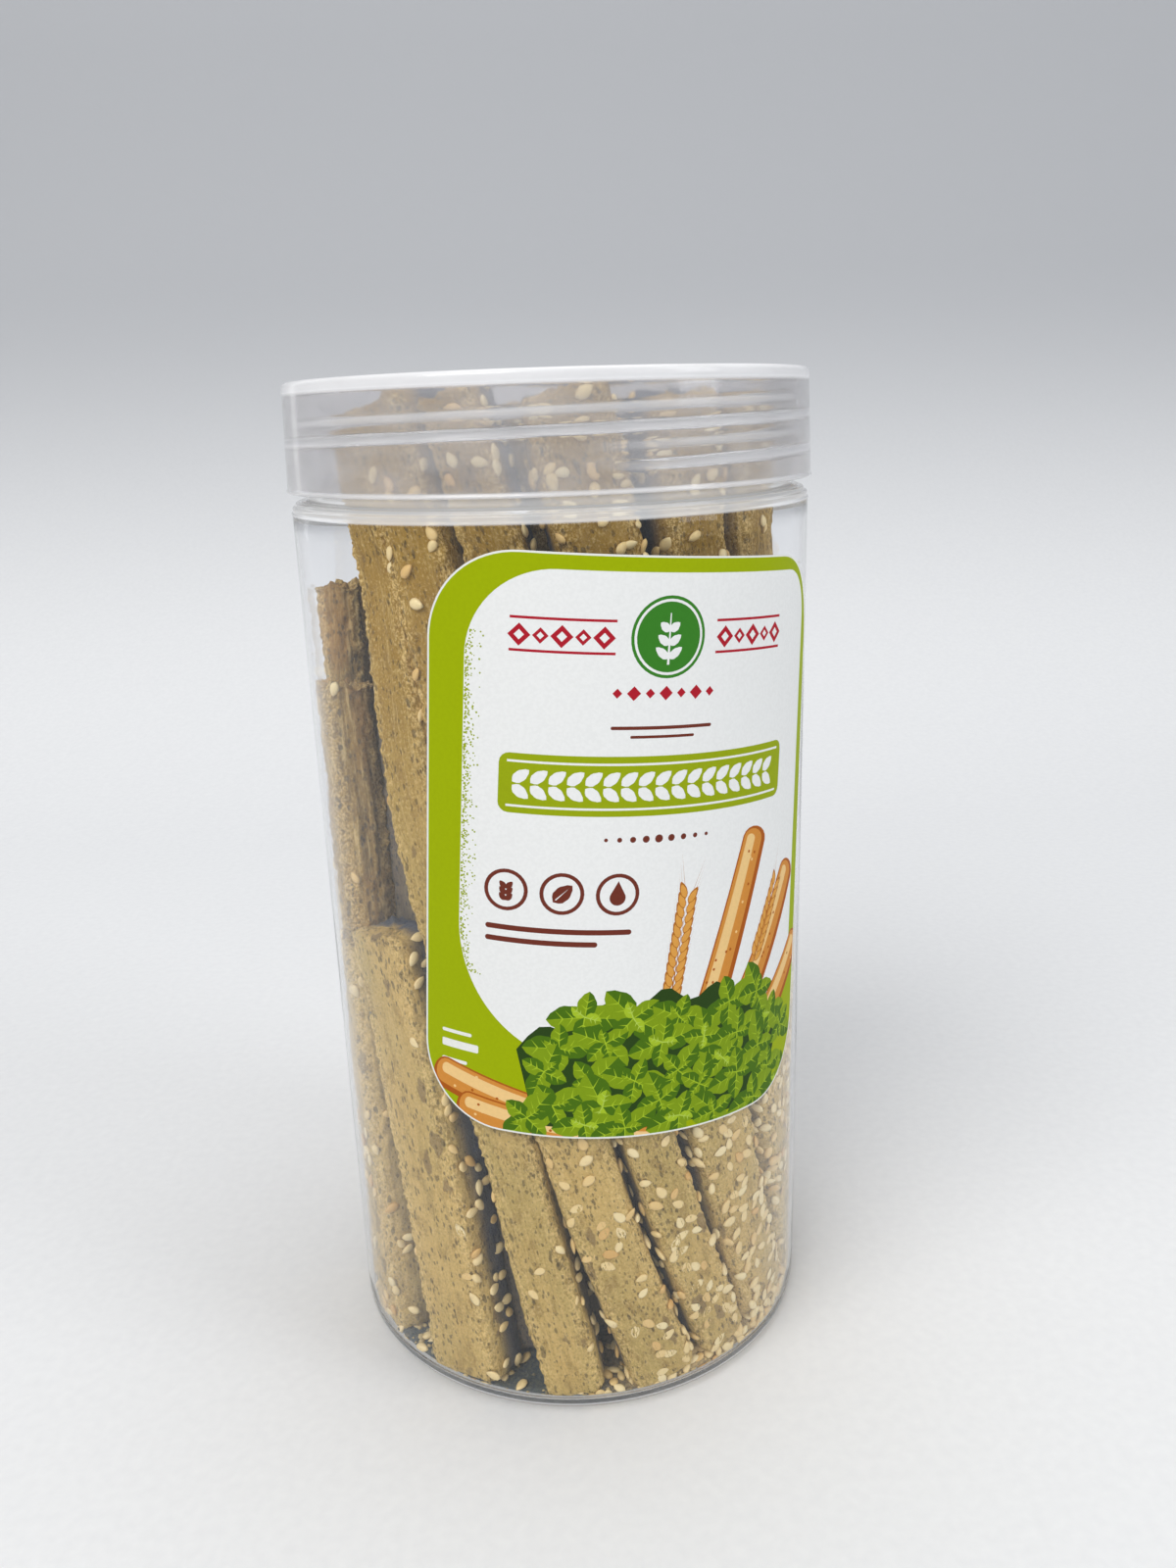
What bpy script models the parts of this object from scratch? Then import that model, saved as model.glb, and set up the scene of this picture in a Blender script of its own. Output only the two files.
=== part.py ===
"""A clear screw-lid jar, wrapped by a label, packed with long seeded bread sticks.

Metres, +Z up. The jar stands on Z = 0 with its axis on the Z axis, and the label's side
faces -Y. An angle round the jar is in degrees, from -Y towards +X.
"""
import math
import random

import bpy
import bmesh
from mathutils import Matrix, Vector

MM = 0.001
SIDES = 40                      # flats round each turned piece
MERGE = 0.00005

# Jar, in millimetres
BODY_RADIUS = 49.8
JAR_WALL = 0.9
BODY_TOP = 174.6                # where the straight wall ends and the shoulder starts
SHOULDER_ROUND = 2.4
NECK_RADIUS = 46.6
NECK_WALL = 1.2
NECK_TOP = 196.0
BASE_ROUND = 3.0
PUSH_UP_RADIUS = 40.0           # inside this the floor is domed, clear of the table
PUSH_UP_HEIGHT = 2.0
DOME_RADIUS = 30.0              # where the dome's slope changes, and its height there
DOME_EDGE = 1.2
NECK_FOOT_INSIDE = 3.2          # heights above the wall's end where the neck starts
NECK_FOOT_OUTSIDE = 2.9

# Lid
LID_TOP = 198.0
LID_BOTTOM = 178.6
LID_RADIUS_TOP = 49.6
LID_RADIUS_BOTTOM = 50.4
LID_WALL = 1.2
LID_PLATE = 1.6
LID_PANEL_RADIUS = 43.5
LID_PANEL_SINK = 0.6
LID_PANEL_EDGE = 0.6            # width of the slope round the sunk panel
LID_EDGE_ROUND = 1.0
LID_BEAD = 0.6                  # the thin ledge just above the lid's lower edge
LID_BEAD_STEP = 0.2

# Thread: one ridge on the neck, and one in the lid half a pitch lower
THREAD_PITCH = 6.0
THREAD_TURNS = 1.5
THREAD_DEPTH = 1.4
THREAD_ROOT = 1.8
THREAD_CREST = 0.9
THREAD_START = 182.6
THREAD_SINK = 0.4               # how far the ridge's root lies inside the wall
THREAD_SINK_IN_LID = 1.0        # more, because the lid flares away from it
THREAD_FADE_STEPS = 4           # flats over which the ridge rises at its ends
THREAD_END = 0.3                # its depth at the very end, against its full depth

# Label
LABEL_GAP = 0.3
LABEL_THICKNESS = 0.25
LABEL_WIDTH = 84.5              # measured round the jar
LABEL_HEIGHT = 106.6
LABEL_CORNER = 15.5
LABEL_ANGLE = 19.2              # degrees, of its middle
LABEL_MIDDLE = 115.2            # height of its middle
LABEL_SLANT = 5.0               # degrees it is stuck on askew, lower at its right
LABEL_CORNER_TURNS = (30, 55, 75, 90)
LABEL_COLUMNS = 12
LABEL_ROWS = 4

# Bread sticks
RING_RADIUS = 42.0              # of the outer ring's centre lines
NECK_RING_RADIUS = 37.6         # of the same lines where they pass the neck
LEAN_IN_START = 111.0           # height where the lines start to lean in
LEAN_IN_END = 171.0
INNER_RINGS = ((9, 25.5), (3, 9.5))     # how many sticks, and their ring's radius
INNER_SINK = 10.0               # how deep the inner sticks start inside the core
INNER_LEAN = 6.0                # degrees
FOOT = 3.1
HEAD = 193.2
STICK_WIDTH = 14.5
STICK_DEPTH = 11.0
STICK_SIDES = 8
STICK_RINGS = 6
SQUARENESS = 2.7                # 2 is an ellipse, more is a squarer section
END_SCALE = 0.9                 # of the section at the very end of a stick
END_LENGTH = 2.0                # from there to the full section
SHORT_STICK = 100.0             # a stick shorter than this takes half the rings
SIDE_STEP = 0.02                # of a stick's length, for the direction of its line
CORE_FOOT_RADIUS = 37.8
CORE_HEAD_RADIUS = 33.2
CORE_TOP = 178.0
CORE_RISE = 1.0                 # from the sticks' feet to the core's underside
CORE_SIDES = 24
CORE_START = 20.0               # side of the first block of the heap, wholly inside the core
SWIRL = 55.0                    # degrees a full stick turns from foot to head

# Sesame seeds
SEED_LENGTH = 3.1
SEED_WIDTH = 1.9
SEED_DEPTH = 0.95
SEED_SINK = 0.15
SEED_COUNT = 80
SEED_SPACING = 5.4
SEED_LOWEST = 7.0
SEED_HIGHEST = 164.0
SEED_TRIES = 40                 # for each seed
SEED_TURNS = (40, 140)          # the part of a stick's section that faces outwards
SEED_ENDS = (0.05, 0.95)        # the part of its length that is clear of its ends
SEED_TAPER = 0.3
SEED_SIZES = (0.92, 1.08)
SLOPE_STEP = 4.0                # degrees of the section, for the direction of the skin


class Stick:
    """One bread stick, by the places of its two ends and by its section."""

    def __init__(self, foot_angle, head_angle, foot=FOOT, head=HEAD, width=STICK_WIDTH,
                 depth=STICK_DEPTH, bow=4.0, ring=RING_RADIUS, seeds=1.0):
        self.foot_angle = foot_angle
        self.head_angle = head_angle
        self.foot = foot
        self.head = head
        self.width = width
        self.depth = depth
        self.bow = bow
        self.ring = ring
        self.seeds = seeds      # how thickly seeds lie on it, against the others


# The sticks that show in front, from the left side of the jar to its right side
FRONT_STICKS = [
    Stick(-90, -96, foot=102, head=163, width=13.0, depth=10.0, bow=0, seeds=0.3),
    Stick(-68, -77, head=90, width=14.0, bow=2, seeds=0.8),
    Stick(-67, -74, foot=94, head=146, width=13.5, depth=10.5, bow=0, seeds=0.3),
    Stick(-34, -57, head=99, width=15.0, bow=2, seeds=0.9),
    Stick(-1, -57, head=192.8, width=11.5, bow=3, seeds=0.8),
    Stick(21, -36, head=194.0, width=15.0, bow=5, seeds=1.2),
    Stick(43, -17, head=194.6, width=13.0, bow=5, seeds=1.2),
    Stick(64, 8, head=194.8, width=15.5, seeds=1.8),
    Stick(86, 33, head=193.6, width=15.0, seeds=1.8),
    Stick(107, 58, head=192.4, width=14.0, seeds=1.2),
]
BACK_FIRST = 129.0              # foot angles of the sticks that stand behind
BACK_LAST = 255.0
BACK_COUNT = 7


def polar(angle, radius, height):
    """A point given by its angle round the jar, its distance from the axis and its height."""
    turn = math.radians(angle)
    return Vector((radius * math.sin(turn), -radius * math.cos(turn), height)) * MM


def ease(value):
    """Goes smoothly from 0 to 1 as the value does."""
    value = min(max(value, 0.0), 1.0)
    return value * value * (3.0 - 2.0 * value)


def make_material(name, colour, roughness, alpha=1.0, transmission=0.0):
    material = bpy.data.materials.new(name)
    material.use_nodes = True
    shader = material.node_tree.nodes["Principled BSDF"]
    shader.inputs["Base Color"].default_value = (*colour, 1.0)
    shader.inputs["Roughness"].default_value = roughness
    shader.inputs["Metallic"].default_value = 0.0
    shader.inputs["Alpha"].default_value = alpha
    shader.inputs["Transmission Weight"].default_value = transmission
    return material


def object_from_bmesh(name, mesh_data, material):
    """Makes an object of a finished bmesh, with its faces pointing outwards."""
    bmesh.ops.recalc_face_normals(mesh_data, faces=mesh_data.faces)
    bmesh.ops.triangulate(mesh_data, faces=mesh_data.faces)
    mesh = bpy.data.meshes.new(name)
    mesh_data.to_mesh(mesh)
    mesh_data.free()
    mesh.materials.append(material)
    piece = bpy.data.objects.new(name, mesh)
    bpy.context.scene.collection.objects.link(piece)
    return piece


def hide_tool(piece):
    """Marks an object as a tool of a Boolean, not a piece of the jar."""
    piece.hide_render = True
    piece.display_type = "WIRE"


def arc(centre_r, centre_z, radius, start, end, steps):
    """Points of a round corner in the profile's plane, with its ends."""
    points = []
    for step in range(steps + 1):
        turn = math.radians(start + (end - start) * step / steps)
        points.append((centre_r + radius * math.cos(turn), centre_z + radius * math.sin(turn)))
    return points


def turned(name, profile, material):
    """Turns a profile round the Z axis. It runs down the piece's outer side."""
    mesh = bpy.data.meshes.new(name)
    points = [(radius * MM, 0.0, height * MM) for radius, height in profile]
    mesh.from_pydata(points, [(k, k + 1) for k in range(len(points) - 1)], [])
    mesh.materials.append(material)
    piece = bpy.data.objects.new(name, mesh)
    bpy.context.scene.collection.objects.link(piece)
    screw = piece.modifiers.new("Turn", "SCREW")
    screw.steps = SIDES
    screw.render_steps = SIDES
    screw.use_merge_vertices = True
    screw.merge_threshold = MERGE
    return piece


def thread_ridge(name, root_radius, crest_radius, start_height, material):
    """A ridge that climbs round the axis, low at both ends, for a neck or a lid."""
    mesh = bmesh.new()
    steps = round(SIDES * THREAD_TURNS)
    previous = None
    first = None
    for step in range(steps + 1):
        angle = 360.0 / SIDES * step
        rise = start_height + THREAD_PITCH * angle / 360.0
        fade = THREAD_END + (1 - THREAD_END) * ease(min(step, steps - step) / THREAD_FADE_STEPS)
        crest = root_radius + (crest_radius - root_radius) * fade
        corners = [
            (root_radius, rise - THREAD_ROOT / 2), (crest, rise - THREAD_CREST / 2),
            (crest, rise + THREAD_CREST / 2), (root_radius, rise + THREAD_ROOT / 2),
        ]
        ring = [mesh.verts.new(polar(angle, radius, height)) for radius, height in corners]
        if previous:
            for k in range(4):
                mesh.faces.new((previous[k], previous[k - 1], ring[k - 1], ring[k]))
        else:
            first = ring
        previous = ring
    mesh.faces.new(first)
    mesh.faces.new(previous)
    ridge = object_from_bmesh(name, mesh, material)
    hide_tool(ridge)
    return ridge


def join_ridge(piece, ridge):
    union = piece.modifiers.new("Thread", "BOOLEAN")
    union.operation = "UNION"
    union.solver = "EXACT"
    union.object = ridge


def jar_profile():
    """From the middle of the inner floor, out, up, over the rim and down the outer side."""
    inner_radius = BODY_RADIUS - JAR_WALL
    inner_round = BASE_ROUND - JAR_WALL
    neck_inner = NECK_RADIUS - NECK_WALL
    floor_top = PUSH_UP_HEIGHT + JAR_WALL
    shoulder_round = SHOULDER_ROUND - JAR_WALL
    shoulder_centre = BODY_RADIUS - SHOULDER_ROUND
    profile = [(0.0, floor_top), (DOME_RADIUS, JAR_WALL + DOME_EDGE)]
    profile += [(PUSH_UP_RADIUS, JAR_WALL)]
    profile += arc(BODY_RADIUS - BASE_ROUND, BASE_ROUND, inner_round, -90, 0, 2)
    profile += arc(inner_radius - shoulder_round, BODY_TOP, shoulder_round, 0, 60, 2)
    profile += [(neck_inner, BODY_TOP + NECK_FOOT_INSIDE), (neck_inner, NECK_TOP)]
    profile += [(NECK_RADIUS, NECK_TOP), (NECK_RADIUS, BODY_TOP + NECK_FOOT_OUTSIDE)]
    profile += arc(shoulder_centre, BODY_TOP, SHOULDER_ROUND, 80, 0, 3)
    profile += arc(BODY_RADIUS - BASE_ROUND, BASE_ROUND, BASE_ROUND, 0, -90, 3)
    profile += [(PUSH_UP_RADIUS, 0.0), (DOME_RADIUS, DOME_EDGE)]
    profile += [(0.0, PUSH_UP_HEIGHT)]
    return profile


def lid_profile():
    """From the middle of the top, out, down the skirt, and back up inside to the middle."""
    inner_bottom = LID_RADIUS_BOTTOM - LID_WALL
    inner_top = LID_RADIUS_TOP - LID_WALL
    plate_under = LID_TOP - LID_PLATE
    panel = LID_TOP - LID_PANEL_SINK
    edge = LID_EDGE_ROUND
    profile = [(0.0, panel), (LID_PANEL_RADIUS, panel), (LID_PANEL_RADIUS + LID_PANEL_EDGE, LID_TOP)]
    profile += arc(LID_RADIUS_TOP - edge, LID_TOP - edge, edge, 90, 0, 3)
    profile += [(LID_RADIUS_BOTTOM - LID_BEAD_STEP, LID_BOTTOM + LID_BEAD)]
    profile += [(LID_RADIUS_BOTTOM, LID_BOTTOM + LID_BEAD - LID_BEAD_STEP)]
    profile += [(LID_RADIUS_BOTTOM, LID_BOTTOM), (inner_bottom, LID_BOTTOM)]
    profile += [(inner_top, plate_under), (0.0, plate_under)]
    return profile


def make_jar(material):
    jar = turned("jar", jar_profile(), material)
    ridge = thread_ridge("neck_thread_tool", NECK_RADIUS - THREAD_SINK,
                         NECK_RADIUS + THREAD_DEPTH, THREAD_START + THREAD_PITCH / 2, material)
    join_ridge(jar, ridge)


def make_lid(material):
    lid = turned("lid", lid_profile(), material)
    wall_inside = LID_RADIUS_TOP - LID_WALL
    ridge = thread_ridge("lid_thread_tool", wall_inside + THREAD_SINK_IN_LID,
                         wall_inside - THREAD_DEPTH, THREAD_START, material)
    join_ridge(lid, ridge)


def label_columns():
    """Places across the label of its columns of faces, closer together in its round corners."""
    half = LABEL_WIDTH / 2
    flat = half - LABEL_CORNER
    corner = [LABEL_CORNER * math.sin(math.radians(turn)) for turn in LABEL_CORNER_TURNS]
    middle = [flat * (2 * k / LABEL_COLUMNS - 1) for k in range(LABEL_COLUMNS + 1)]
    left = [-flat - reach for reach in reversed(corner)]
    return left + middle + [flat + reach for reach in corner]


def label_point(across, up, radius):
    """A point of the label, which is wrapped round the jar at a slight slant."""
    slant = math.radians(LABEL_SLANT)
    along = across * math.cos(slant) + up * math.sin(slant)
    height = LABEL_MIDDLE + up * math.cos(slant) - across * math.sin(slant)
    return polar(LABEL_ANGLE + math.degrees(along / BODY_RADIUS), radius, height)


def make_label(material):
    """A rounded rectangle of thin sheet. Each column is a closed loop, up its front and down its back."""
    mesh = bmesh.new()
    inner = BODY_RADIUS + LABEL_GAP
    outer = inner + LABEL_THICKNESS
    loops = []
    for across in label_columns():
        reach = max(abs(across) - (LABEL_WIDTH / 2 - LABEL_CORNER), 0.0)
        inset = LABEL_CORNER - math.sqrt(max(LABEL_CORNER ** 2 - reach ** 2, 0.0))
        half = LABEL_HEIGHT / 2 - inset
        heights = [half * (2 * k / LABEL_ROWS - 1) for k in range(LABEL_ROWS + 1)]
        front = [mesh.verts.new(label_point(across, up, outer)) for up in heights]
        back = [mesh.verts.new(label_point(across, up, inner)) for up in reversed(heights)]
        loops.append(front + back)
    for left, right in zip(loops, loops[1:]):
        for k in range(len(left)):
            mesh.faces.new((left[k - 1], left[k], right[k], right[k - 1]))
    for end in (loops[0], loops[-1]):
        for k in range(LABEL_ROWS):
            mesh.faces.new((end[k], end[k + 1], end[-2 - k], end[-1 - k]))
    object_from_bmesh("label", mesh, material)


def back_sticks(rng):
    """The sticks behind, evenly round the jar but each a little different."""
    sticks = []
    for k in range(BACK_COUNT):
        foot_angle = BACK_FIRST + (BACK_LAST - BACK_FIRST) * k / (BACK_COUNT - 1)
        head_angle = foot_angle - SWIRL + rng.uniform(-4, 4)
        sticks.append(Stick(foot_angle + rng.uniform(-2, 2), head_angle,
                            head=HEAD + rng.uniform(-6, 1.5), width=STICK_WIDTH + rng.uniform(0, 2)))
    return sticks


def inner_sticks(rng):
    """The sticks inside the ring. Only their heads show, above the core."""
    sticks = []
    for count, ring in INNER_RINGS:
        for k in range(count):
            angle = 360.0 * k / count + rng.uniform(-6, 6)
            sticks.append(Stick(angle, angle - INNER_LEAN, foot=CORE_TOP - INNER_SINK, ring=ring,
                                bow=0, head=HEAD + rng.uniform(-7, 1.6), width=STICK_WIDTH - 1))
    return sticks


def stick_centre(stick, t):
    """A point of a stick's centre line, for t from 0 at its foot to 1 at its head."""
    height = stick.foot + (stick.head - stick.foot) * t
    angle = stick.foot_angle + (stick.head_angle - stick.foot_angle) * t
    angle -= stick.bow * math.sin(math.pi * t)
    lean = ease((height - LEAN_IN_START) / (LEAN_IN_END - LEAN_IN_START))
    if stick.head < BODY_TOP:
        lean = 0.0
    return angle, stick.ring - max(stick.ring - NECK_RING_RADIUS, 0.0) * lean, height


def stick_axes(stick, t):
    """A stick's centre, and its directions along, across and out from the jar's axis."""
    angle, radius, height = stick_centre(stick, t)
    after = polar(*stick_centre(stick, t + SIDE_STEP))
    before = polar(*stick_centre(stick, t - SIDE_STEP))
    along = (after - before).normalized()
    across = along.cross(polar(angle, 1.0, 0.0)).normalized()
    outwards = across.cross(along)
    return polar(angle, radius, height), along, across, outwards


def stick_surface(stick, t, turn, scale=1.0):
    """A point on a stick's skin. The turn round its section is 90 degrees where it faces out."""
    centre, along, across, outwards = stick_axes(stick, t)
    power = 2.0 / SQUARENESS
    cosine = math.cos(math.radians(turn))
    sine = math.sin(math.radians(turn))
    sideways = math.copysign(abs(cosine) ** power, cosine) * stick.width / 2
    forwards = math.copysign(abs(sine) ** power, sine) * stick.depth / 2
    return centre + (across * sideways + outwards * forwards) * MM * scale


def make_stick(stick, rings, collection, material):
    """A closed solid of one stick, with slightly rounded ends."""
    mesh = bmesh.new()
    end = END_LENGTH / (stick.head - stick.foot)
    middle = [end + (1 - 2 * end) * k / rings for k in range(1, rings)]
    places = [0.0, end] + middle + [1 - end, 1.0]
    loops = []
    for k, t in enumerate(places):
        scale = END_SCALE if k in (0, len(places) - 1) else 1.0
        turns = [360.0 * (j + 0.5) / STICK_SIDES for j in range(STICK_SIDES)]
        loops.append([mesh.verts.new(stick_surface(stick, t, turn, scale)) for turn in turns])
    for lower, upper in zip(loops, loops[1:]):
        for j in range(STICK_SIDES):
            mesh.faces.new((lower[j - 1], lower[j], upper[j], upper[j - 1]))
    mesh.faces.new(loops[0])
    mesh.faces.new(loops[-1])
    add_tool(mesh, "stick_tool", collection, material)


def add_tool(mesh, name, collection, material):
    """Puts a closed solid in the collection that the union joins."""
    piece = object_from_bmesh(name, mesh, material)
    hide_tool(piece)
    bpy.context.scene.collection.objects.unlink(piece)
    collection.objects.link(piece)


def seed_places(sticks, rng):
    """Spots on the outer faces of the sticks, spread evenly and thicker where seeds are."""
    places = []
    weights = [stick.seeds * (stick.head - stick.foot) for stick in sticks]
    for _ in range(SEED_COUNT * SEED_TRIES):
        if len(places) == SEED_COUNT:
            break
        stick = rng.choices(sticks, weights)[0]
        height = rng.uniform(SEED_LOWEST, SEED_HIGHEST)
        turn = rng.uniform(*SEED_TURNS)
        t = (height - stick.foot) / (stick.head - stick.foot)
        if not SEED_ENDS[0] < t < SEED_ENDS[1]:
            continue
        spot = stick_surface(stick, t, turn)
        if all((spot - other[0]).length > SEED_SPACING * MM for other in places):
            places.append((spot, stick, t, turn))
    return places


def make_seed(spot, stick, t, turn, rng, collection, material):
    """One flat drop-shaped seed, half sunk in the stick's skin."""
    mesh = bmesh.new()
    bmesh.ops.create_uvsphere(mesh, u_segments=5, v_segments=4, radius=1.0)
    one_side = stick_surface(stick, t, turn - SLOPE_STEP)
    other_side = stick_surface(stick, t, turn + SLOPE_STEP)
    along, outwards = stick_axes(stick, t)[1::2]
    normal = (other_side - one_side).normalized().cross(along).normalized()
    if normal.dot(outwards) < 0:
        normal = -normal
    tilt = Matrix.Rotation(rng.uniform(0, math.pi), 3, normal)
    long_way = tilt @ along
    wide_way = normal.cross(long_way)
    size = rng.uniform(*SEED_SIZES) * MM / 2
    for vert in mesh.verts:
        x, y, z = vert.co
        narrow = 1.0 - SEED_TAPER * z
        vert.co = (spot - normal * SEED_SINK * MM + long_way * z * SEED_LENGTH * size
                   + wide_way * x * narrow * SEED_WIDTH * size + normal * y * SEED_DEPTH * size)
    add_tool(mesh, "seed_tool", collection, material)


def make_core(collection, material):
    """The solid inside of the packed sticks, wide at the floor and narrow at the neck."""
    mesh = bmesh.new()
    bottom = FOOT + CORE_RISE
    bmesh.ops.create_cone(mesh, cap_ends=True, segments=CORE_SIDES, radius1=CORE_FOOT_RADIUS * MM,
                          radius2=CORE_HEAD_RADIUS * MM, depth=(CORE_TOP - bottom) * MM)
    bmesh.ops.translate(mesh, verts=mesh.verts, vec=(0, 0, (CORE_TOP + bottom) / 2 * MM))
    add_tool(mesh, "core_tool", collection, material)


def shells_of(work):
    """Groups a mesh's faces into shells, which may touch along an edge but aren't joined there."""
    shells = []
    left = set(work.faces)
    while left:
        shell = [left.pop()]
        for face in shell:
            for link in face.edges:
                if len(link.link_faces) == 2:
                    for other in link.link_faces:
                        if other in left:
                            left.remove(other)
                            shell.append(other)
        shells.append(shell)
    return shells


def keep_outer_shell(mesh):
    """Leaves only the largest closed shell, so sealed hollows are filled and scraps dropped."""
    work = bmesh.new()
    work.from_mesh(mesh)
    shells = sorted(shells_of(work), key=len)
    for shell in shells[:-1]:
        bmesh.ops.delete(work, geom=shell, context="FACES")
    bmesh.ops.triangulate(work, faces=work.faces)
    work.to_mesh(mesh)
    work.free()


def make_bread_sticks(material):
    """All the sticks as one heap: a core with the ring of sticks and their seeds fused on."""
    rng = random.Random(11)
    tools = bpy.data.collections.new("bread_stick_tools")
    bpy.context.scene.collection.children.link(tools)
    ring = FRONT_STICKS + back_sticks(rng)
    for stick in ring:
        rings = STICK_RINGS if stick.head - stick.foot > SHORT_STICK else STICK_RINGS // 2
        make_stick(stick, rings, tools, material)
    for stick in inner_sticks(rng):
        make_stick(stick, 1, tools, material)
    for spot, stick, t, turn in seed_places(ring, rng):
        make_seed(spot, stick, t, turn, rng, tools, material)
    mesh = bmesh.new()
    bmesh.ops.create_cube(mesh, size=CORE_START * MM)
    bmesh.ops.translate(mesh, verts=mesh.verts, vec=(0, 0, HEAD / 2 * MM))
    heap = object_from_bmesh("bread_sticks", mesh, material)
    make_core(tools, material)
    union = heap.modifiers.new("Fuse", "BOOLEAN")
    union.operation = "UNION"
    union.solver = "EXACT"
    union.operand_type = "COLLECTION"
    union.collection = tools
    fused = bpy.data.meshes.new_from_object(heap.evaluated_get(bpy.context.evaluated_depsgraph_get()))
    heap.modifiers.clear()
    heap.data = fused
    keep_outer_shell(fused)
    for piece in list(tools.objects):
        bpy.data.objects.remove(piece)
    bpy.data.collections.remove(tools)


def main():
    for piece in list(bpy.data.objects):
        bpy.data.objects.remove(piece)
    make_jar(make_material("clear_plastic", (0.95, 0.96, 0.97), 0.05, transmission=1.0))
    make_lid(make_material("milky_plastic", (0.86, 0.87, 0.88), 0.3, alpha=0.6))
    make_label(make_material("label_paper", (0.42, 0.62, 0.02), 0.4))
    make_bread_sticks(make_material("baked_dough", (0.40, 0.32, 0.15), 0.85))


main()
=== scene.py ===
# %% [markdown]
# # A screw-lid jar of seeded bread sticks
# The real thing is a clear, thin-walled plastic jar, about 100 mm wide and 198 mm high, with a milky
# lid and a wrapped label, packed with long flat bread sticks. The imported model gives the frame: the
# jar, the lid, the label and one fused heap of sticks. This script makes the looks around it, each
# piece in the place of its solid, and with the same named sizes.

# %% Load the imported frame
import math
import random

import bpy
import numpy as np
from mathutils import Matrix, Vector, geometry


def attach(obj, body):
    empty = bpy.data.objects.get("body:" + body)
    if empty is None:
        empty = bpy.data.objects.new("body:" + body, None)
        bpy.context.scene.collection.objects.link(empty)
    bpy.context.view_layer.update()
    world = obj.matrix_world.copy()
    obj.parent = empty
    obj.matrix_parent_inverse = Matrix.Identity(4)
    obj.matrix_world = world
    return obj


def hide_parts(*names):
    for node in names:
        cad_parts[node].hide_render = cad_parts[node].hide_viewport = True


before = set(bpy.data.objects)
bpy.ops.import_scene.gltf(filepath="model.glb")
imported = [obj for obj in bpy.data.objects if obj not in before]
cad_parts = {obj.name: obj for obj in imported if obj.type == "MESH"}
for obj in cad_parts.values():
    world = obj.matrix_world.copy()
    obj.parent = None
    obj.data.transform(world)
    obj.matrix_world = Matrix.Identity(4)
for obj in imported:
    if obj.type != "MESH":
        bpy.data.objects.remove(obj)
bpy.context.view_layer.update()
MM = 0.001

# %% [markdown]
# ## Sizes
# The jar is a turned shape, so a few radii and heights describe it. They are the sizes of the solids,
# in millimetres.

# %% Sizes of the jar, the lid, the label and the sticks
BODY_RADIUS = 49.8
JAR_WALL = 0.9
BODY_TOP = 174.6
SHOULDER_ROUND = 2.4
NECK_RADIUS = 46.6
NECK_WALL = 1.2
NECK_TOP = 196.0
BASE_ROUND = 3.0
PUSH_UP_RADIUS = 40.0
PUSH_UP_HEIGHT = 2.0
FLOOR_WALL = 2.0
INNER_CORNER = 2.0

LID_TOP = 198.0
LID_BOTTOM = 178.6
LID_RADIUS_TOP = 49.6
LID_RADIUS_BOTTOM = 50.4
LID_WALL = 1.2
LID_PLATE = 1.6
LID_PANEL_RADIUS = 43.5
LID_PANEL_SINK = 0.6
LID_BEAD = 0.6

THREAD_PITCH = 6.0
THREAD_TURNS = 1.5
THREAD_DEPTH = 1.4
THREAD_ROOT = 1.8
THREAD_CREST = 0.9
THREAD_START = 182.6

LABEL_WIDTH = 84.5
LABEL_HEIGHT = 106.6
LABEL_CORNER = 15.5
LABEL_ANGLE = 19.2
LABEL_MIDDLE = 115.2
LABEL_SLANT = 5.0

RING_RADIUS = 42.0
NECK_RING_RADIUS = 37.6
LEAN_IN_START = 111.0
LEAN_IN_END = 171.0
FOOT = 3.1
HEAD = 193.2
STICK_WIDTH = 14.5
STICK_DEPTH = 11.0
SWIRL = 55.0

# %% [markdown]
# ## The camera
# The camera was solved from the ellipses of the lid and the base and from the wall's outline. It looks
# down by 17 degrees from a quarter of a metre away, through a wide lens, which is why the jar
# seems to narrow towards its base. An exact matrix keeps that view, where a tracking constraint
# would lose the small roll.

# %% Place the camera
PHOTO_HEIGHT = 1600
FOCAL_PIXELS = 1235.0
CAMERA_PLACE = Vector((0.0, -244.48, 190.87)) * MM
PITCH = 0.2965
YAW = 0.0222
ROLL = -0.0333
SENSOR = 36.0


def make_camera():
    """A camera at the photograph's viewing angle."""
    forward = Vector((math.sin(YAW) * math.cos(PITCH), math.cos(YAW) * math.cos(PITCH), -math.sin(PITCH)))
    level = Vector((math.cos(YAW), -math.sin(YAW), 0.0))
    upright = level.cross(forward)
    right = math.cos(ROLL) * level + math.sin(ROLL) * upright
    up = math.cos(ROLL) * upright - math.sin(ROLL) * level
    data = bpy.data.cameras.new("camera")
    data.sensor_width = SENSOR
    data.lens = FOCAL_PIXELS / PHOTO_HEIGHT * SENSOR
    data.clip_start = 0.01
    data.clip_end = 20.0
    camera = bpy.data.objects.new("camera", data)
    turn = Matrix((right, up, -forward)).transposed().to_4x4()
    camera.matrix_world = Matrix.Translation(CAMERA_PLACE) @ turn
    bpy.context.scene.collection.objects.link(camera)
    bpy.context.scene.camera = camera
    print("Lens", round(data.lens, 2), "mm")


make_camera()

# %% [markdown]
# ## Small helpers for nodes
# Materials and Geometry Nodes trees are both made of nodes and links. One helper adds a node and
# fills its inputs, either with a value or with a link, and two more write sums as one line each.
# Colours are given as the screen shows them, 0 to 255, and turned into the linear values that
# Blender uses.

# %% Node helpers


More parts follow.
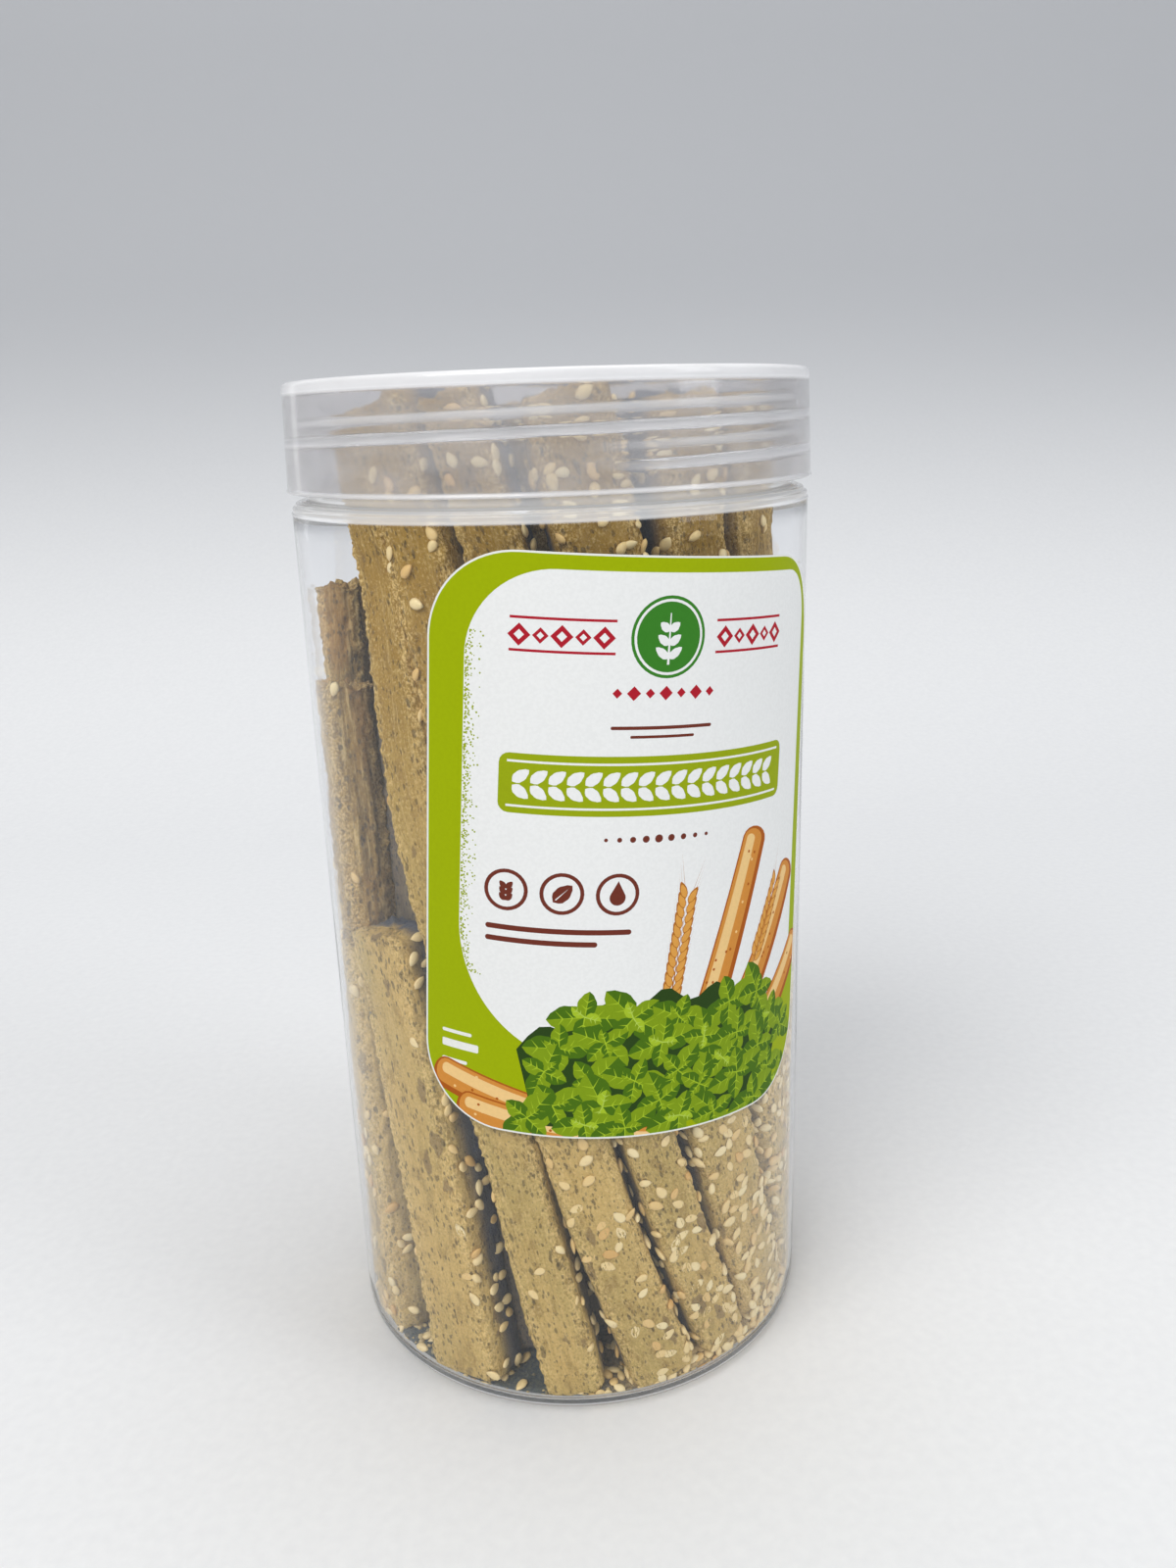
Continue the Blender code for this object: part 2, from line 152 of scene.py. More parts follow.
def add(tree, kind, inputs=None, **settings):
    """Adds a node. An input takes a plain value or another node's output."""
    made = tree.nodes.new(kind)
    for key, value in settings.items():
        setattr(made, key, value)
    for key, value in (inputs or {}).items():
        if isinstance(value, bpy.types.NodeSocket):
            tree.links.new(value, made.inputs[key])
        else:
            made.inputs[key].default_value = value
    return made


def calc(tree, operation, *values):
    """One sum on numbers."""
    return add(tree, "ShaderNodeMath", dict(enumerate(values)), operation=operation).outputs[0]


def vector_calc(tree, operation, *values):
    """One sum on vectors."""
    return add(tree, "ShaderNodeVectorMath", dict(enumerate(values)), operation=operation).outputs[0]


def between(tree, value, low, high, to_low=0.0, to_high=1.0, kind="SMOOTHSTEP"):
    """Follows a value from low to high as it goes from one number to another."""
    inputs = {"Value": value, "From Min": low, "From Max": high, "To Min": to_low, "To Max": to_high}
    return add(tree, "ShaderNodeMapRange", inputs, interpolation_type=kind).outputs[0]


def noise(tree, place, scale, detail=2.0, roughness=0.5):
    """A soft random pattern with values round a half."""
    inputs = {"Vector": place, "Scale": scale, "Detail": detail, "Roughness": roughness}
    return add(tree, "ShaderNodeTexNoise", inputs).outputs[0]


def linear(red, green, blue):
    """A colour as seen on a screen, in the values that a shader takes."""
    parts = [channel / 255 for channel in (red, green, blue)]
    return tuple(part / 12.92 if part <= 0.04045 else ((part + 0.055) / 1.055) ** 2.4 for part in parts)


def mixed(tree, factor, first, second):
    """A colour between two others."""
    made = add(tree, "ShaderNodeMix", data_type="RGBA")
    for socket, value in ((made.inputs[0], factor), (made.inputs[6], first), (made.inputs[7], second)):
        if isinstance(value, bpy.types.NodeSocket):
            tree.links.new(value, socket)
        else:
            socket.default_value = value if isinstance(value, float) else (*value, 1.0)
    return made.outputs[2]


def new_material(name, **sockets):
    """A Principled material. Its constant values sit on the shader's own sockets."""
    material = bpy.data.materials.new(name)
    material.use_nodes = True
    shader = material.node_tree.nodes["Principled BSDF"]
    for key, value in sockets.items():
        shader.inputs[key.replace("_", " ")].default_value = value
    return material, material.node_tree, shader


# %% Helpers that build and run a Geometry Nodes tree


def new_tree(name, inputs):
    """An empty tree with named inputs, given as pairs of a name and a kind of socket."""
    tree = bpy.data.node_groups.new(name, "GeometryNodeTree")
    tree.interface.new_socket("Geometry", in_out="INPUT", socket_type="NodeSocketGeometry")
    tree.interface.new_socket("Geometry", in_out="OUTPUT", socket_type="NodeSocketGeometry")
    for label, kind in inputs:
        tree.interface.new_socket(label, in_out="INPUT", socket_type="NodeSocket" + kind)
    return tree, tree.nodes.new("NodeGroupInput").outputs


def end_tree(tree, shape, material):
    """Closes a tree with real geometry and its material."""
    real = add(tree, "GeometryNodeRealizeInstances", {"Geometry": shape}).outputs[0]
    painted = add(tree, "GeometryNodeSetMaterial", {"Geometry": real, "Material": material}).outputs[0]
    tree.links.new(painted, tree.nodes.new("NodeGroupOutput").inputs[0])


def run_tree(piece, tree, values):
    """Runs a tree on a piece and leaves the result as its plain mesh."""
    modifier = piece.modifiers.new(tree.name, "NODES")
    modifier.node_group = tree
    for item in tree.interface.items_tree:
        if item.in_out == "INPUT" and item.name in values:
            modifier[item.identifier] = values[item.name]
    depsgraph = bpy.context.evaluated_depsgraph_get()
    ready = piece.evaluated_get(depsgraph)
    mesh = bpy.data.meshes.new_from_object(ready, preserve_all_data_layers=True, depsgraph=depsgraph)
    piece.modifiers.clear()
    piece.data = mesh
    return piece


def attribute(tree, name, kind="FLOAT"):
    """Reads a value stored on the points of a mesh, inside a geometry tree."""
    made = add(tree, "GeometryNodeInputNamedAttribute", {"Name": name}, data_type=kind)
    return made.outputs["Attribute"]


def count_triangles(piece):
    return sum(len(face.vertices) - 2 for face in piece.data.polygons)


# %% [markdown]
# ## A skin over rings of points
# The jar, the lid and every bread stick are the same kind of shape: rings of points, one after
# another, closed by a point at each end. A numpy array holds the rings, and one helper joins
# them with faces. It checks the volume's sign, so that the faces always point outwards.

# %% Skin helper


def object_of(name, mesh):
    piece = bpy.data.objects.new(name, mesh)
    bpy.context.scene.collection.objects.link(piece)
    return piece


def skin(name, rings, first, last, marks):
    """A closed surface over rings of points, with a point at each end.

    Marks are numbers or vectors that the points carry, one array for each name.
    """
    rows, columns = rings.shape[:2]
    points = np.concatenate([rings.reshape(-1, 3), [first, last]])
    corner = np.arange(rows * columns).reshape(rows, columns)
    after = np.roll(corner, -1, axis=1)
    quads = np.stack([corner[:-1], after[:-1], after[1:], corner[1:]], axis=-1).reshape(-1, 4)
    bottom = np.stack([after[0], corner[0], np.full(columns, rows * columns)], axis=-1)
    top = np.stack([corner[-1], after[-1], np.full(columns, rows * columns + 1)], axis=-1)
    a, b, c, d = (points[quads[:, k]] for k in range(4))
    volume = np.einsum("ij,ij->", a, np.cross(b, c)) + np.einsum("ij,ij->", a, np.cross(c, d))
    if volume < 0:
        quads, bottom, top = quads[:, ::-1], bottom[:, ::-1], top[:, ::-1]
    mesh = bpy.data.meshes.new(name)
    mesh.from_pydata(points, [], quads.tolist() + bottom.tolist() + top.tolist())
    mesh.shade_smooth()
    for label, values in marks.items():
        kind = "FLOAT_VECTOR" if values.ndim == 2 else "FLOAT"
        field = "vector" if values.ndim == 2 else "value"
        mark = mesh.attributes.new(label, kind, "POINT")
        mark.data.foreach_set(field, np.ascontiguousarray(values, np.float32).ravel())
    return object_of(name, mesh)


def polar(angle, radius, height):
    """Points by their angle round the jar in degrees, distance from the axis and height."""
    turn = np.radians(angle)
    return np.stack(np.broadcast_arrays(radius * np.sin(turn), -radius * np.cos(turn), height), -1) * MM


def ease(value):
    """Goes smoothly from 0 to 1 as the value does."""
    value = np.clip(value, 0.0, 1.0)
    return value * value * (3.0 - 2.0 * value)


def arc(centre_r, centre_z, radius, start, end, steps):
    """Points of a round corner of a profile, with its ends."""
    turns = np.radians(np.linspace(start, end, steps + 1))
    return [(centre_r + radius * math.cos(turn), centre_z + radius * math.sin(turn)) for turn in turns]


def turned(name, profile, columns, marks=None):
    """Turns a profile round the jar's axis. It starts and ends on the axis."""
    angles = np.arange(columns) * 360.0 / columns
    heights = np.array([point[1] for point in profile])
    radii = np.array([point[0] for point in profile])
    rings = polar(angles[None, :], radii[1:-1, None], heights[1:-1, None])
    spread = {}
    for label, values in (marks or {}).items():
        inner = np.repeat(values[1:-1], columns)
        spread[label] = np.concatenate([inner, [values[0], values[-1]]])
    ends = [np.array((0.0, 0.0, heights[k] * MM)) for k in (0, -1)]
    return skin(name, rings, ends[0], ends[1], spread)


# %% [markdown]
# ## Stage and light
# The object stands on a plain pale floor that sweeps up into a pale wall, so no horizon cuts
# through the clear jar. A large soft light above the front left is the main one. Weaker ones at
# the right and overhead open the shadows, and a tall narrow one behind the left side gives the
# wall its long bright reflection there.

# %% Make the floor and the wall
FLOOR_SIZE = 3.0
WALL_DISTANCE = 0.75
WALL_HEIGHT = 1.6
WALL_SHADE_HEIGHT = 0.3
SWEEP_RADIUS = 0.45
FLOOR_DARK = linear(226, 227, 229)
FLOOR_LIGHT = linear(236, 237, 238)
WALL_TONE = linear(176, 178, 182)


def make_stage():
    """A floor that turns up into a wall behind the object."""
    profile = [(-FLOOR_SIZE, 0.0), (WALL_DISTANCE - SWEEP_RADIUS, 0.0)]
    for turn in np.radians(np.linspace(5, 90, 18)):
        rise = SWEEP_RADIUS * (1 - math.cos(turn))
        profile.append((WALL_DISTANCE - SWEEP_RADIUS + SWEEP_RADIUS * math.sin(turn), rise))
    profile.append((WALL_DISTANCE, WALL_HEIGHT))
    points = [(side * FLOOR_SIZE, y, z) for y, z in profile for side in (-1, 1)]
    faces = [(2 * k, 2 * k + 1, 2 * k + 3, 2 * k + 2) for k in range(len(profile) - 1)]
    mesh = bpy.data.meshes.new("stage_floor")
    mesh.from_pydata(points, [], faces)
    mesh.shade_smooth()
    material, tree, shader = new_material("pale_floor", Roughness=0.75)
    place = add(tree, "ShaderNodeTexCoord").outputs["Object"]
    grain = noise(tree, place, 420.0, 3.0)
    paper = mixed(tree, grain, FLOOR_DARK, FLOOR_LIGHT)
    height = add(tree, "ShaderNodeSeparateXYZ", {0: place}).outputs[2]
    paper = mixed(tree, between(tree, height, 0.0, WALL_SHADE_HEIGHT), paper, WALL_TONE)
    tree.links.new(paper, shader.inputs["Base Color"])
    bump = add(tree, "ShaderNodeBump", {"Height": grain, "Distance": 0.0002, "Strength": 0.25})
    tree.links.new(bump.outputs[0], shader.inputs["Normal"])
    mesh.materials.append(material)
    object_of("stage_floor", mesh)


make_stage()

# %% Hang the lights
LIGHTS = [
    ("main_light", (-0.75, -0.95, 1.45), (1.1, 1.1), 18.8, (1.0, 0.985, 0.96)),
    ("right_light", (1.15, -0.55, 0.75), (0.5, 1.0), 5.0, (0.97, 0.985, 1.0)),
    ("tall_light", (-0.62, 0.58, 0.35), (0.1, 0.6), 0.12, (1.0, 1.0, 1.0)),
    ("top_light", (0.15, 0.25, 1.5), (1.2, 0.8), 5.0, (1.0, 1.0, 1.0)),
]
AIM = Vector((0.0, 0.0, 98.0)) * MM
SKY = 0.435


def make_lights():
    """Area lights that face the middle of the jar, and an even pale surround."""
    for name, place, size, power, colour in LIGHTS:
        data = bpy.data.lights.new(name, "AREA")
        data.shape = "RECTANGLE"
        data.size, data.size_y = size
        data.energy = power
        data.color = colour
        light = bpy.data.objects.new(name, data)
        light.location = place
        light.rotation_euler = (AIM - Vector(place)).to_track_quat("-Z", "Y").to_euler()
        bpy.context.scene.collection.objects.link(light)
    world = bpy.data.worlds.new("surround")
    world.use_nodes = True
    surround = world.node_tree.nodes["Background"]
    surround.inputs["Color"].default_value = (0.95, 0.97, 1.0, 1.0)
    surround.inputs["Strength"].default_value = SKY
    scene = bpy.context.scene
    scene.world = world
    scene.view_settings.view_transform = "Standard"
    scene.cycles.caustics_refractive = False
    scene.cycles.caustics_reflective = False
    scene.cycles.max_bounces = 12
    scene.cycles.transmission_bounces = 10
    scene.cycles.transparent_max_bounces = 16
    scene.cycles.diffuse_bounces = 2
    scene.cycles.glossy_bounces = 3
    print(len(LIGHTS), "lights")


make_lights()

# %% [markdown]
# ## Clear and milky plastic
# Clear plastic bends light and reflects it at its two surfaces, so a Principled shader with full
# transmission stands on a wall of real thickness. Light that falls through it on the bread would be
# lost in the shader's own shadow, so shadow rays and bounced light pass straight through
# instead. The lid is the same idea with a rough, partly white body. Both are less clear where the
# plastic is thick, as at the shoulder, the foot and the lid's rim, which the mesh says with a
# number on its points. A second number paints shade into a brownish-grey line round the jar's foot.

# %% Make the two plastics
CLEAR_TINT = (0.985, 0.99, 1.0)
# Painted shade: the brownish grey of the line round the jar's foot.
FOOT_SHADE_TINT = linear(168, 154, 138)
JAR_CLEARNESS = (1.0, 0.35)
LID_CLEARNESS = (0.97, 0.05)
LID_TONES = (linear(241, 240, 242), linear(242, 242, 244))
def let_light_in(tree, shader, most, least):
    """Lets shadow rays and bounced light go straight through, less of it where they graze the wall."""
    path = add(tree, "ShaderNodeLightPath")
    passes = calc(tree, "MAXIMUM", path.outputs["Is Shadow Ray"], path.outputs["Is Diffuse Ray"])
    grazing = calc(tree, "POWER", add(tree, "ShaderNodeLayerWeight").outputs["Facing"], 4.0)
    tint = mixed(tree, grazing, (most, most, most), (least, least, least))
    clear = add(tree, "ShaderNodeBsdfTransparent", {"Color": tint})
    mix = add(tree, "ShaderNodeMixShader", {0: passes, 1: shader.outputs[0], 2: clear.outputs[0]})
    tree.links.new(mix.outputs[0], tree.nodes["Material Output"].inputs["Surface"])


def clear_plastic():
    """Thin clear jar plastic with faint moulding waves."""
    material, tree, shader = new_material("clear_jar_plastic", Roughness=0.02, IOR=1.36)
    place = add(tree, "ShaderNodeTexCoord").outputs["Object"]
    thick = add(tree, "ShaderNodeAttribute", attribute_name="thick").outputs["Fac"]
    foot_shade = add(tree, "ShaderNodeAttribute", attribute_name="foot_shade").outputs["Fac"]
    clearness = between(tree, thick, 0.0, 1.0, *JAR_CLEARNESS, "LINEAR")
    tree.links.new(clearness, shader.inputs["Transmission Weight"])
    # Painted shade: the line round the foot is tinted brownish grey.
    tree.links.new(mixed(tree, foot_shade, CLEAR_TINT, FOOT_SHADE_TINT), shader.inputs["Base Color"])
    stretched = vector_calc(tree, "MULTIPLY", place, (1.0, 1.0, 0.25))
    wave = noise(tree, stretched, 60.0, 2.0)
    bump = add(tree, "ShaderNodeBump", {"Height": wave, "Distance": 0.0006, "Strength": 0.12})
    tree.links.new(bump.outputs[0], shader.inputs["Normal"])
    let_light_in(tree, shader, 0.98, 0.3)
    return material


def milky_plastic():
    """Translucent lid plastic, whiter where it is thick, with fine flow marks."""
    material, tree, shader = new_material("milky_lid_plastic", Roughness=0.13, IOR=1.42)
    thick = add(tree, "ShaderNodeAttribute", attribute_name="thick").outputs["Fac"]
    place = add(tree, "ShaderNodeTexCoord").outputs["Object"]
    marks = noise(tree, vector_calc(tree, "MULTIPLY", place, (1.0, 1.0, 3.0)), 90.0, 4.0)
    uneven = calc(tree, "ADD", thick, calc(tree, "MULTIPLY", calc(tree, "SUBTRACT", marks, 0.5), 0.25))
    clearness = between(tree, uneven, 0.0, 1.0, *LID_CLEARNESS, "LINEAR")
    tree.links.new(clearness, shader.inputs["Transmission Weight"])
    tree.links.new(mixed(tree, uneven, *LID_TONES), shader.inputs["Base Color"])
    bump = add(tree, "ShaderNodeBump", {"Height": marks, "Distance": 0.0002, "Strength": 0.2})
    tree.links.new(bump.outputs[0], shader.inputs["Normal"])
    let_light_in(tree, shader, 0.86, 0.4)
    return material


jar_plastic = clear_plastic()
lid_plastic = milky_plastic()

# %% [markdown]
# ## The screw thread
# A thread could be a sweep along a spiral that is fused to the wall. In clear plastic the fused
# seam would show as a line inside the wall. So the thread is a rule for the wall's points instead:
# a Geometry Nodes tree finds each point's angle and height, works out how far it is from the
# climbing ridge, and moves it in or out by the ridge's section there.

# %% The thread's tree


def thread_tree():
    """Moves the points marked as threaded by the section of a climbing ridge."""
    sizes = ["Start", "Pitch", "Turns", "Depth", "Root", "Crest"]
    tree, given = new_tree("raise_thread", [(size, "Float") for size in sizes] + [("Material", "Material")])
    place = add(tree, "GeometryNodeInputPosition").outputs[0]
    x, y, z = add(tree, "ShaderNodeSeparateXYZ", {0: place}).outputs
    turn = calc(tree, "ARCTAN2", x, calc(tree, "MULTIPLY", y, -1.0))
    fraction = calc(tree, "FRACT", calc(tree, "ADD", calc(tree, "DIVIDE", turn, math.tau), 1.0))
    slope = calc(tree, "MULTIPLY", calc(tree, "SUBTRACT", given["Root"], given["Crest"]), 0.5)
    reach = calc(tree, "MULTIPLY", given["Root"], 0.5)
    bumps = []
    for lap in (0.0, 1.0):
        along = calc(tree, "ADD", fraction, lap)
        middle = calc(tree, "MULTIPLY_ADD", along, given["Pitch"], given["Start"])
        away = calc(tree, "ABSOLUTE", calc(tree, "SUBTRACT", z, middle))
        section = between(tree, calc(tree, "DIVIDE", calc(tree, "SUBTRACT", reach, away), slope), 0.0, 1.0)
        left = calc(tree, "MINIMUM", along, calc(tree, "SUBTRACT", given["Turns"], along))
        bumps.append(calc(tree, "MULTIPLY", section, between(tree, left, 0.0, 0.1)))
    ridge = calc(tree, "MAXIMUM", bumps[0], bumps[1])
    ridge = calc(tree, "MULTIPLY", ridge, attribute(tree, "threaded"))
    outward = vector_calc(tree, "NORMALIZE", vector_calc(tree, "MULTIPLY", place, (1.0, 1.0, 0.0)))
    push = calc(tree, "MULTIPLY", ridge, given["Depth"])
    offset = add(tree, "ShaderNodeVectorMath", {0: outward, "Scale": push}, operation="SCALE").outputs[0]
    moved = add(tree, "GeometryNodeSetPosition", {"Geometry": given["Geometry"], "Offset": offset})
    thick = calc(tree, "MAXIMUM", attribute(tree, "thick"), ridge)
    kept = {0: moved.outputs[0], "Name": "thick", "Value": thick}
    stored = add(tree, "GeometryNodeStoreNamedAttribute", kept)
    end_tree(tree, stored.outputs[0], given["Material"])
    return tree


thread = thread_tree()


def raise_thread(piece, start, depth, material):
    """Runs the thread's tree, whose ridge stands out for a plus depth and in for a minus one."""
    sizes = {"Start": start, "Pitch": THREAD_PITCH, "Depth": depth,
             "Root": THREAD_ROOT, "Crest": THREAD_CREST}
    values = {label: size * MM for label, size in sizes.items()}
    values["Turns"] = THREAD_TURNS
    values["Material"] = material
    return run_tree(piece, thread, values)


# %% [markdown]
# ## The jar
# A blow-moulded jar has a thin wall, a soft round shoulder, a neck that steps in to hold the
# lid, and a floor that is pushed up in the middle so that it stands on a ring. The profile
# runs from the middle of the floor inside, over the rim, to the middle of the floor outside. Its
# parts are kept apart, so that each can say where the thread is, where the plastic is thick, and
# where shade is painted on the line round the foot.

# %% Draw the jar's profile
THREAD_ROW = 0.3
COVE = 0.8
SHOULDER_RIDGE = 0.1
WALL_LOW = 8
WALL_EASE = 4


def floor_line(base, radii):
    """The domed floor's height at some distances from the axis."""
    return [(radius, base + PUSH_UP_HEIGHT * (1 - (radius / PUSH_UP_RADIUS) ** 3)) for radius in radii]


def jar_inside():
    """The inner side, from the middle of the floor up the wall and the neck, and over the rim."""
    neck_inner = NECK_RADIUS - NECK_WALL
    neck_foot = BODY_TOP + SHOULDER_ROUND
    wall_inner = BODY_RADIUS - JAR_WALL
    inside = floor_line(FLOOR_WALL, np.linspace(0, PUSH_UP_RADIUS, 9))
    inside += arc(wall_inner - INNER_CORNER, FLOOR_WALL + INNER_CORNER, INNER_CORNER, -90, 0, 8)
    inside += [(wall_inner, height) for height in np.linspace(WALL_LOW, BODY_TOP - WALL_EASE, 12)]
    inside += arc(BODY_RADIUS - SHOULDER_ROUND, BODY_TOP, SHOULDER_ROUND - JAR_WALL, 0, 80, 8)
    inside += arc(neck_inner + COVE, neck_foot + COVE - 0.6, COVE, 250, 180, 4)
    inside += [(neck_inner, height) for height in np.linspace(neck_foot + 3, NECK_TOP - 1, 6)]
    return inside + arc(NECK_RADIUS - NECK_WALL / 2, NECK_TOP - NECK_WALL / 2, NECK_WALL / 2, 180, 0, 8)


def jar_neck():
    """The neck's outer side, in rows close enough together to carry the thread."""
    neck_foot = BODY_TOP + SHOULDER_ROUND
    rows = int((NECK_TOP - neck_foot - 4) / THREAD_ROW)
    return [(NECK_RADIUS, height) for height in np.linspace(NECK_TOP - 1.4, neck_foot + 2.6, rows)]


def jar_shoulder():
    """The round shoulder with its faint ridges."""
    shoulder = arc(NECK_RADIUS + COVE, BODY_TOP + SHOULDER_ROUND + COVE, COVE, 180, 260, 5)
    for number, (r, z) in enumerate(arc(BODY_RADIUS - SHOULDER_ROUND, BODY_TOP, SHOULDER_ROUND, 82, 0, 24)):
        ridge = SHOULDER_RIDGE * math.cos(number * math.tau / 8)
        shoulder.append((r + ridge, z + ridge))
    return shoulder


def marked(parts, values):
    """One number for each point of a profile, from its parts and a number for each part."""
    return np.concatenate([np.full(len(part), float(value)) for part, value in zip(parts, values)])


# %% Turn the jar
JAR_COLUMNS = 192
SHOULDER_THICKNESS = 0.85
FLOOR_THICKNESS = 0.6
FOOT_SHADE_STRENGTH = 0.7


def make_jar():
    """The jar's wall with its real thickness, and the thread on its neck."""
    wall_heights = (BODY_TOP - 0.25, *np.linspace(BODY_TOP - WALL_EASE, WALL_LOW, 12))
    wall = [(BODY_RADIUS, height) for height in wall_heights]
    foot = arc(BODY_RADIUS - BASE_ROUND, BASE_ROUND, BASE_ROUND, 0, -90, 10)
    under = floor_line(0.0, np.linspace(PUSH_UP_RADIUS, 0, 9))
    parts = (jar_inside(), jar_neck(), jar_shoulder(), wall, foot[:2], foot[2:3], foot[3:5], foot[5:], under)
    marks = {
        "threaded": marked(parts, (0, 1, 0, 0, 0, 0, 0, 0, 0)),
        "thick": marked(parts, (0, 0, SHOULDER_THICKNESS, 0, 0, 1, 1, 1, FLOOR_THICKNESS)),
        # Where shade is painted on the line round the foot.
        "foot_shade": marked(parts, (0, 0, 0, 0, 0, 0, FOOT_SHADE_STRENGTH, 0, 0)),
    }
    jar = turned("clear_jar", sum(parts, []), JAR_COLUMNS, marks)
    raise_thread(jar, THREAD_START + THREAD_PITCH / 2, THREAD_DEPTH, jar_plastic)
    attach(jar, "root")
    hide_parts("jar")
    print("Jar:", count_triangles(jar), "triangles")


make_jar()

# %% [markdown]
# ## The lid
# The lid is one moulding: a plate with a shallow panel, a skirt that flares a little towards
# its lower edge with a fine bead above it, and the thread inside. The plate's rim is solid, so it
# looks whiter than the skirt, and the mesh marks it as thick.

# %% Draw the lid's profile
LID_EDGE = 1.0
LID_RIM_POINTS = 12


def lid_top():
    """The top: the sunk panel from its middle out, its slope, and the round rim."""
    panel = LID_TOP - LID_PANEL_SINK
    top = [(radius, panel) for radius in np.linspace(0, LID_PANEL_RADIUS - 0.6, 6)]
    top += [(LID_PANEL_RADIUS - 0.2, panel + 0.08), (LID_PANEL_RADIUS + 0.1, panel + 0.3)]
    top += [(LID_PANEL_RADIUS + 0.4, LID_TOP - 0.08), (LID_PANEL_RADIUS + 0.9, LID_TOP)]
    return top + arc(LID_RADIUS_TOP - LID_EDGE, LID_TOP - LID_EDGE, LID_EDGE, 90, 0, 7)


def lid_edge():
    """The bead and the lower edge of the skirt."""
    inner = LID_RADIUS_BOTTOM - LID_WALL
    bead = LID_BOTTOM + LID_BEAD
    edge = [(LID_RADIUS_BOTTOM - 0.2, bead), (LID_RADIUS_BOTTOM - 0.05, bead - 0.12)]
    edge += [(LID_RADIUS_BOTTOM, bead - 0.3), (LID_RADIUS_BOTTOM, LID_BOTTOM + 0.15)]
    edge += [(LID_RADIUS_BOTTOM - 0.2, LID_BOTTOM), (inner + 0.2, LID_BOTTOM)]
    return edge + [(inner, LID_BOTTOM + 0.2)]


def lid_inside():
    """The skirt's inner side, in rows that can carry the thread, and the plate's underside."""
    low, high = LID_RADIUS_BOTTOM - LID_WALL, LID_RADIUS_TOP - LID_WALL
    under = LID_TOP - LID_PLATE
    rows = int((under - LID_BOTTOM - 2.4) / THREAD_ROW)
    wall = [(low + (high - low) * draft, LID_BOTTOM + (under - LID_BOTTOM) * draft)
            for draft in np.linspace(0.05, 0.94, rows)]
    below = [(high - 0.05, under - 0.6), (high - 0.25, under - 0.2), (high - 0.7, under)]
    below += [(radius, under) for radius in np.linspace(high - 3, 0, 8)]
    return wall, below


# %% Turn the lid
LID_COLUMNS = 192


def make_lid():
    """The lid with its panel, its bead and the thread inside its skirt."""
    top, (wall, below) = lid_top(), lid_inside()
    band = [(LID_RADIUS_TOP + 0.04, LID_TOP - 1.9), (LID_RADIUS_TOP - 0.04, LID_TOP - 2.2)]
    skirt = [(LID_RADIUS_TOP + 0.6 * step / 8, LID_TOP - 2.4 - 16.0 * step / 8) for step in range(9)]
    parts = (top[:-LID_RIM_POINTS], top[-LID_RIM_POINTS:], band[:1], band[1:], skirt, lid_edge(), wall,
             below[:3], below[3:])
    marks = {
        "threaded": marked(parts, (0, 0, 0, 0, 0, 0, 1, 0, 0)),
        "thick": marked(parts, (0.35, 0.9, 0.95, 0.6, 0.18, 0.5, 0.18, 0.6, 0.3)),
    }
    lid = turned("milky_lid", sum(parts, []), LID_COLUMNS, marks)
    raise_thread(lid, THREAD_START, -THREAD_DEPTH, lid_plastic)
    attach(lid, "root")
    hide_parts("lid")
    print("Lid:", count_triangles(lid), "triangles")


make_lid()

# %% [markdown]
# ## The bread sticks: where they stand
# Each stick is a flat bar of dough that stands on the floor of the jar, leans round its wall and
# leans in a little to pass the neck. A stick is given by the angles and heights of its two ends,
# its width and depth, how it bends, how rough its skin is, and how many seeds lie on its left
# side, its face and its right side, in seeds for each square centimetre. Two more numbers, from 0
# to 1, give the painted shade on its sides beside its neighbours, and on all of it behind others.

# %% Describe a stick
WALL_RING = RING_RADIUS + 1.1
FLOOR_FOOT = 2.8


class Stick:
    """One bread stick: its place, its section and the kind of its skin."""

    def __init__(self, foot_angle, head_angle, foot=FLOOR_FOOT, head=HEAD, width=STICK_WIDTH,
                 depth=STICK_DEPTH, bow=4.0, sway=0.0, ring=WALL_RING, top_ring=NECK_RING_RADIUS,
                 rough=0.35, seeds=(1.5, 1.5, 1.5), square=2.9, crowded=1.0, shade=0.0):
        self.foot_angle, self.head_angle = foot_angle, head_angle
        self.foot, self.head = foot, head
        self.width, self.depth = width, depth
        self.bow, self.sway = bow, sway
        self.crowded, self.shade = crowded, shade
        self.ring, self.top_ring = ring, top_ring
        self.rough, self.seeds, self.square = rough, seeds, square

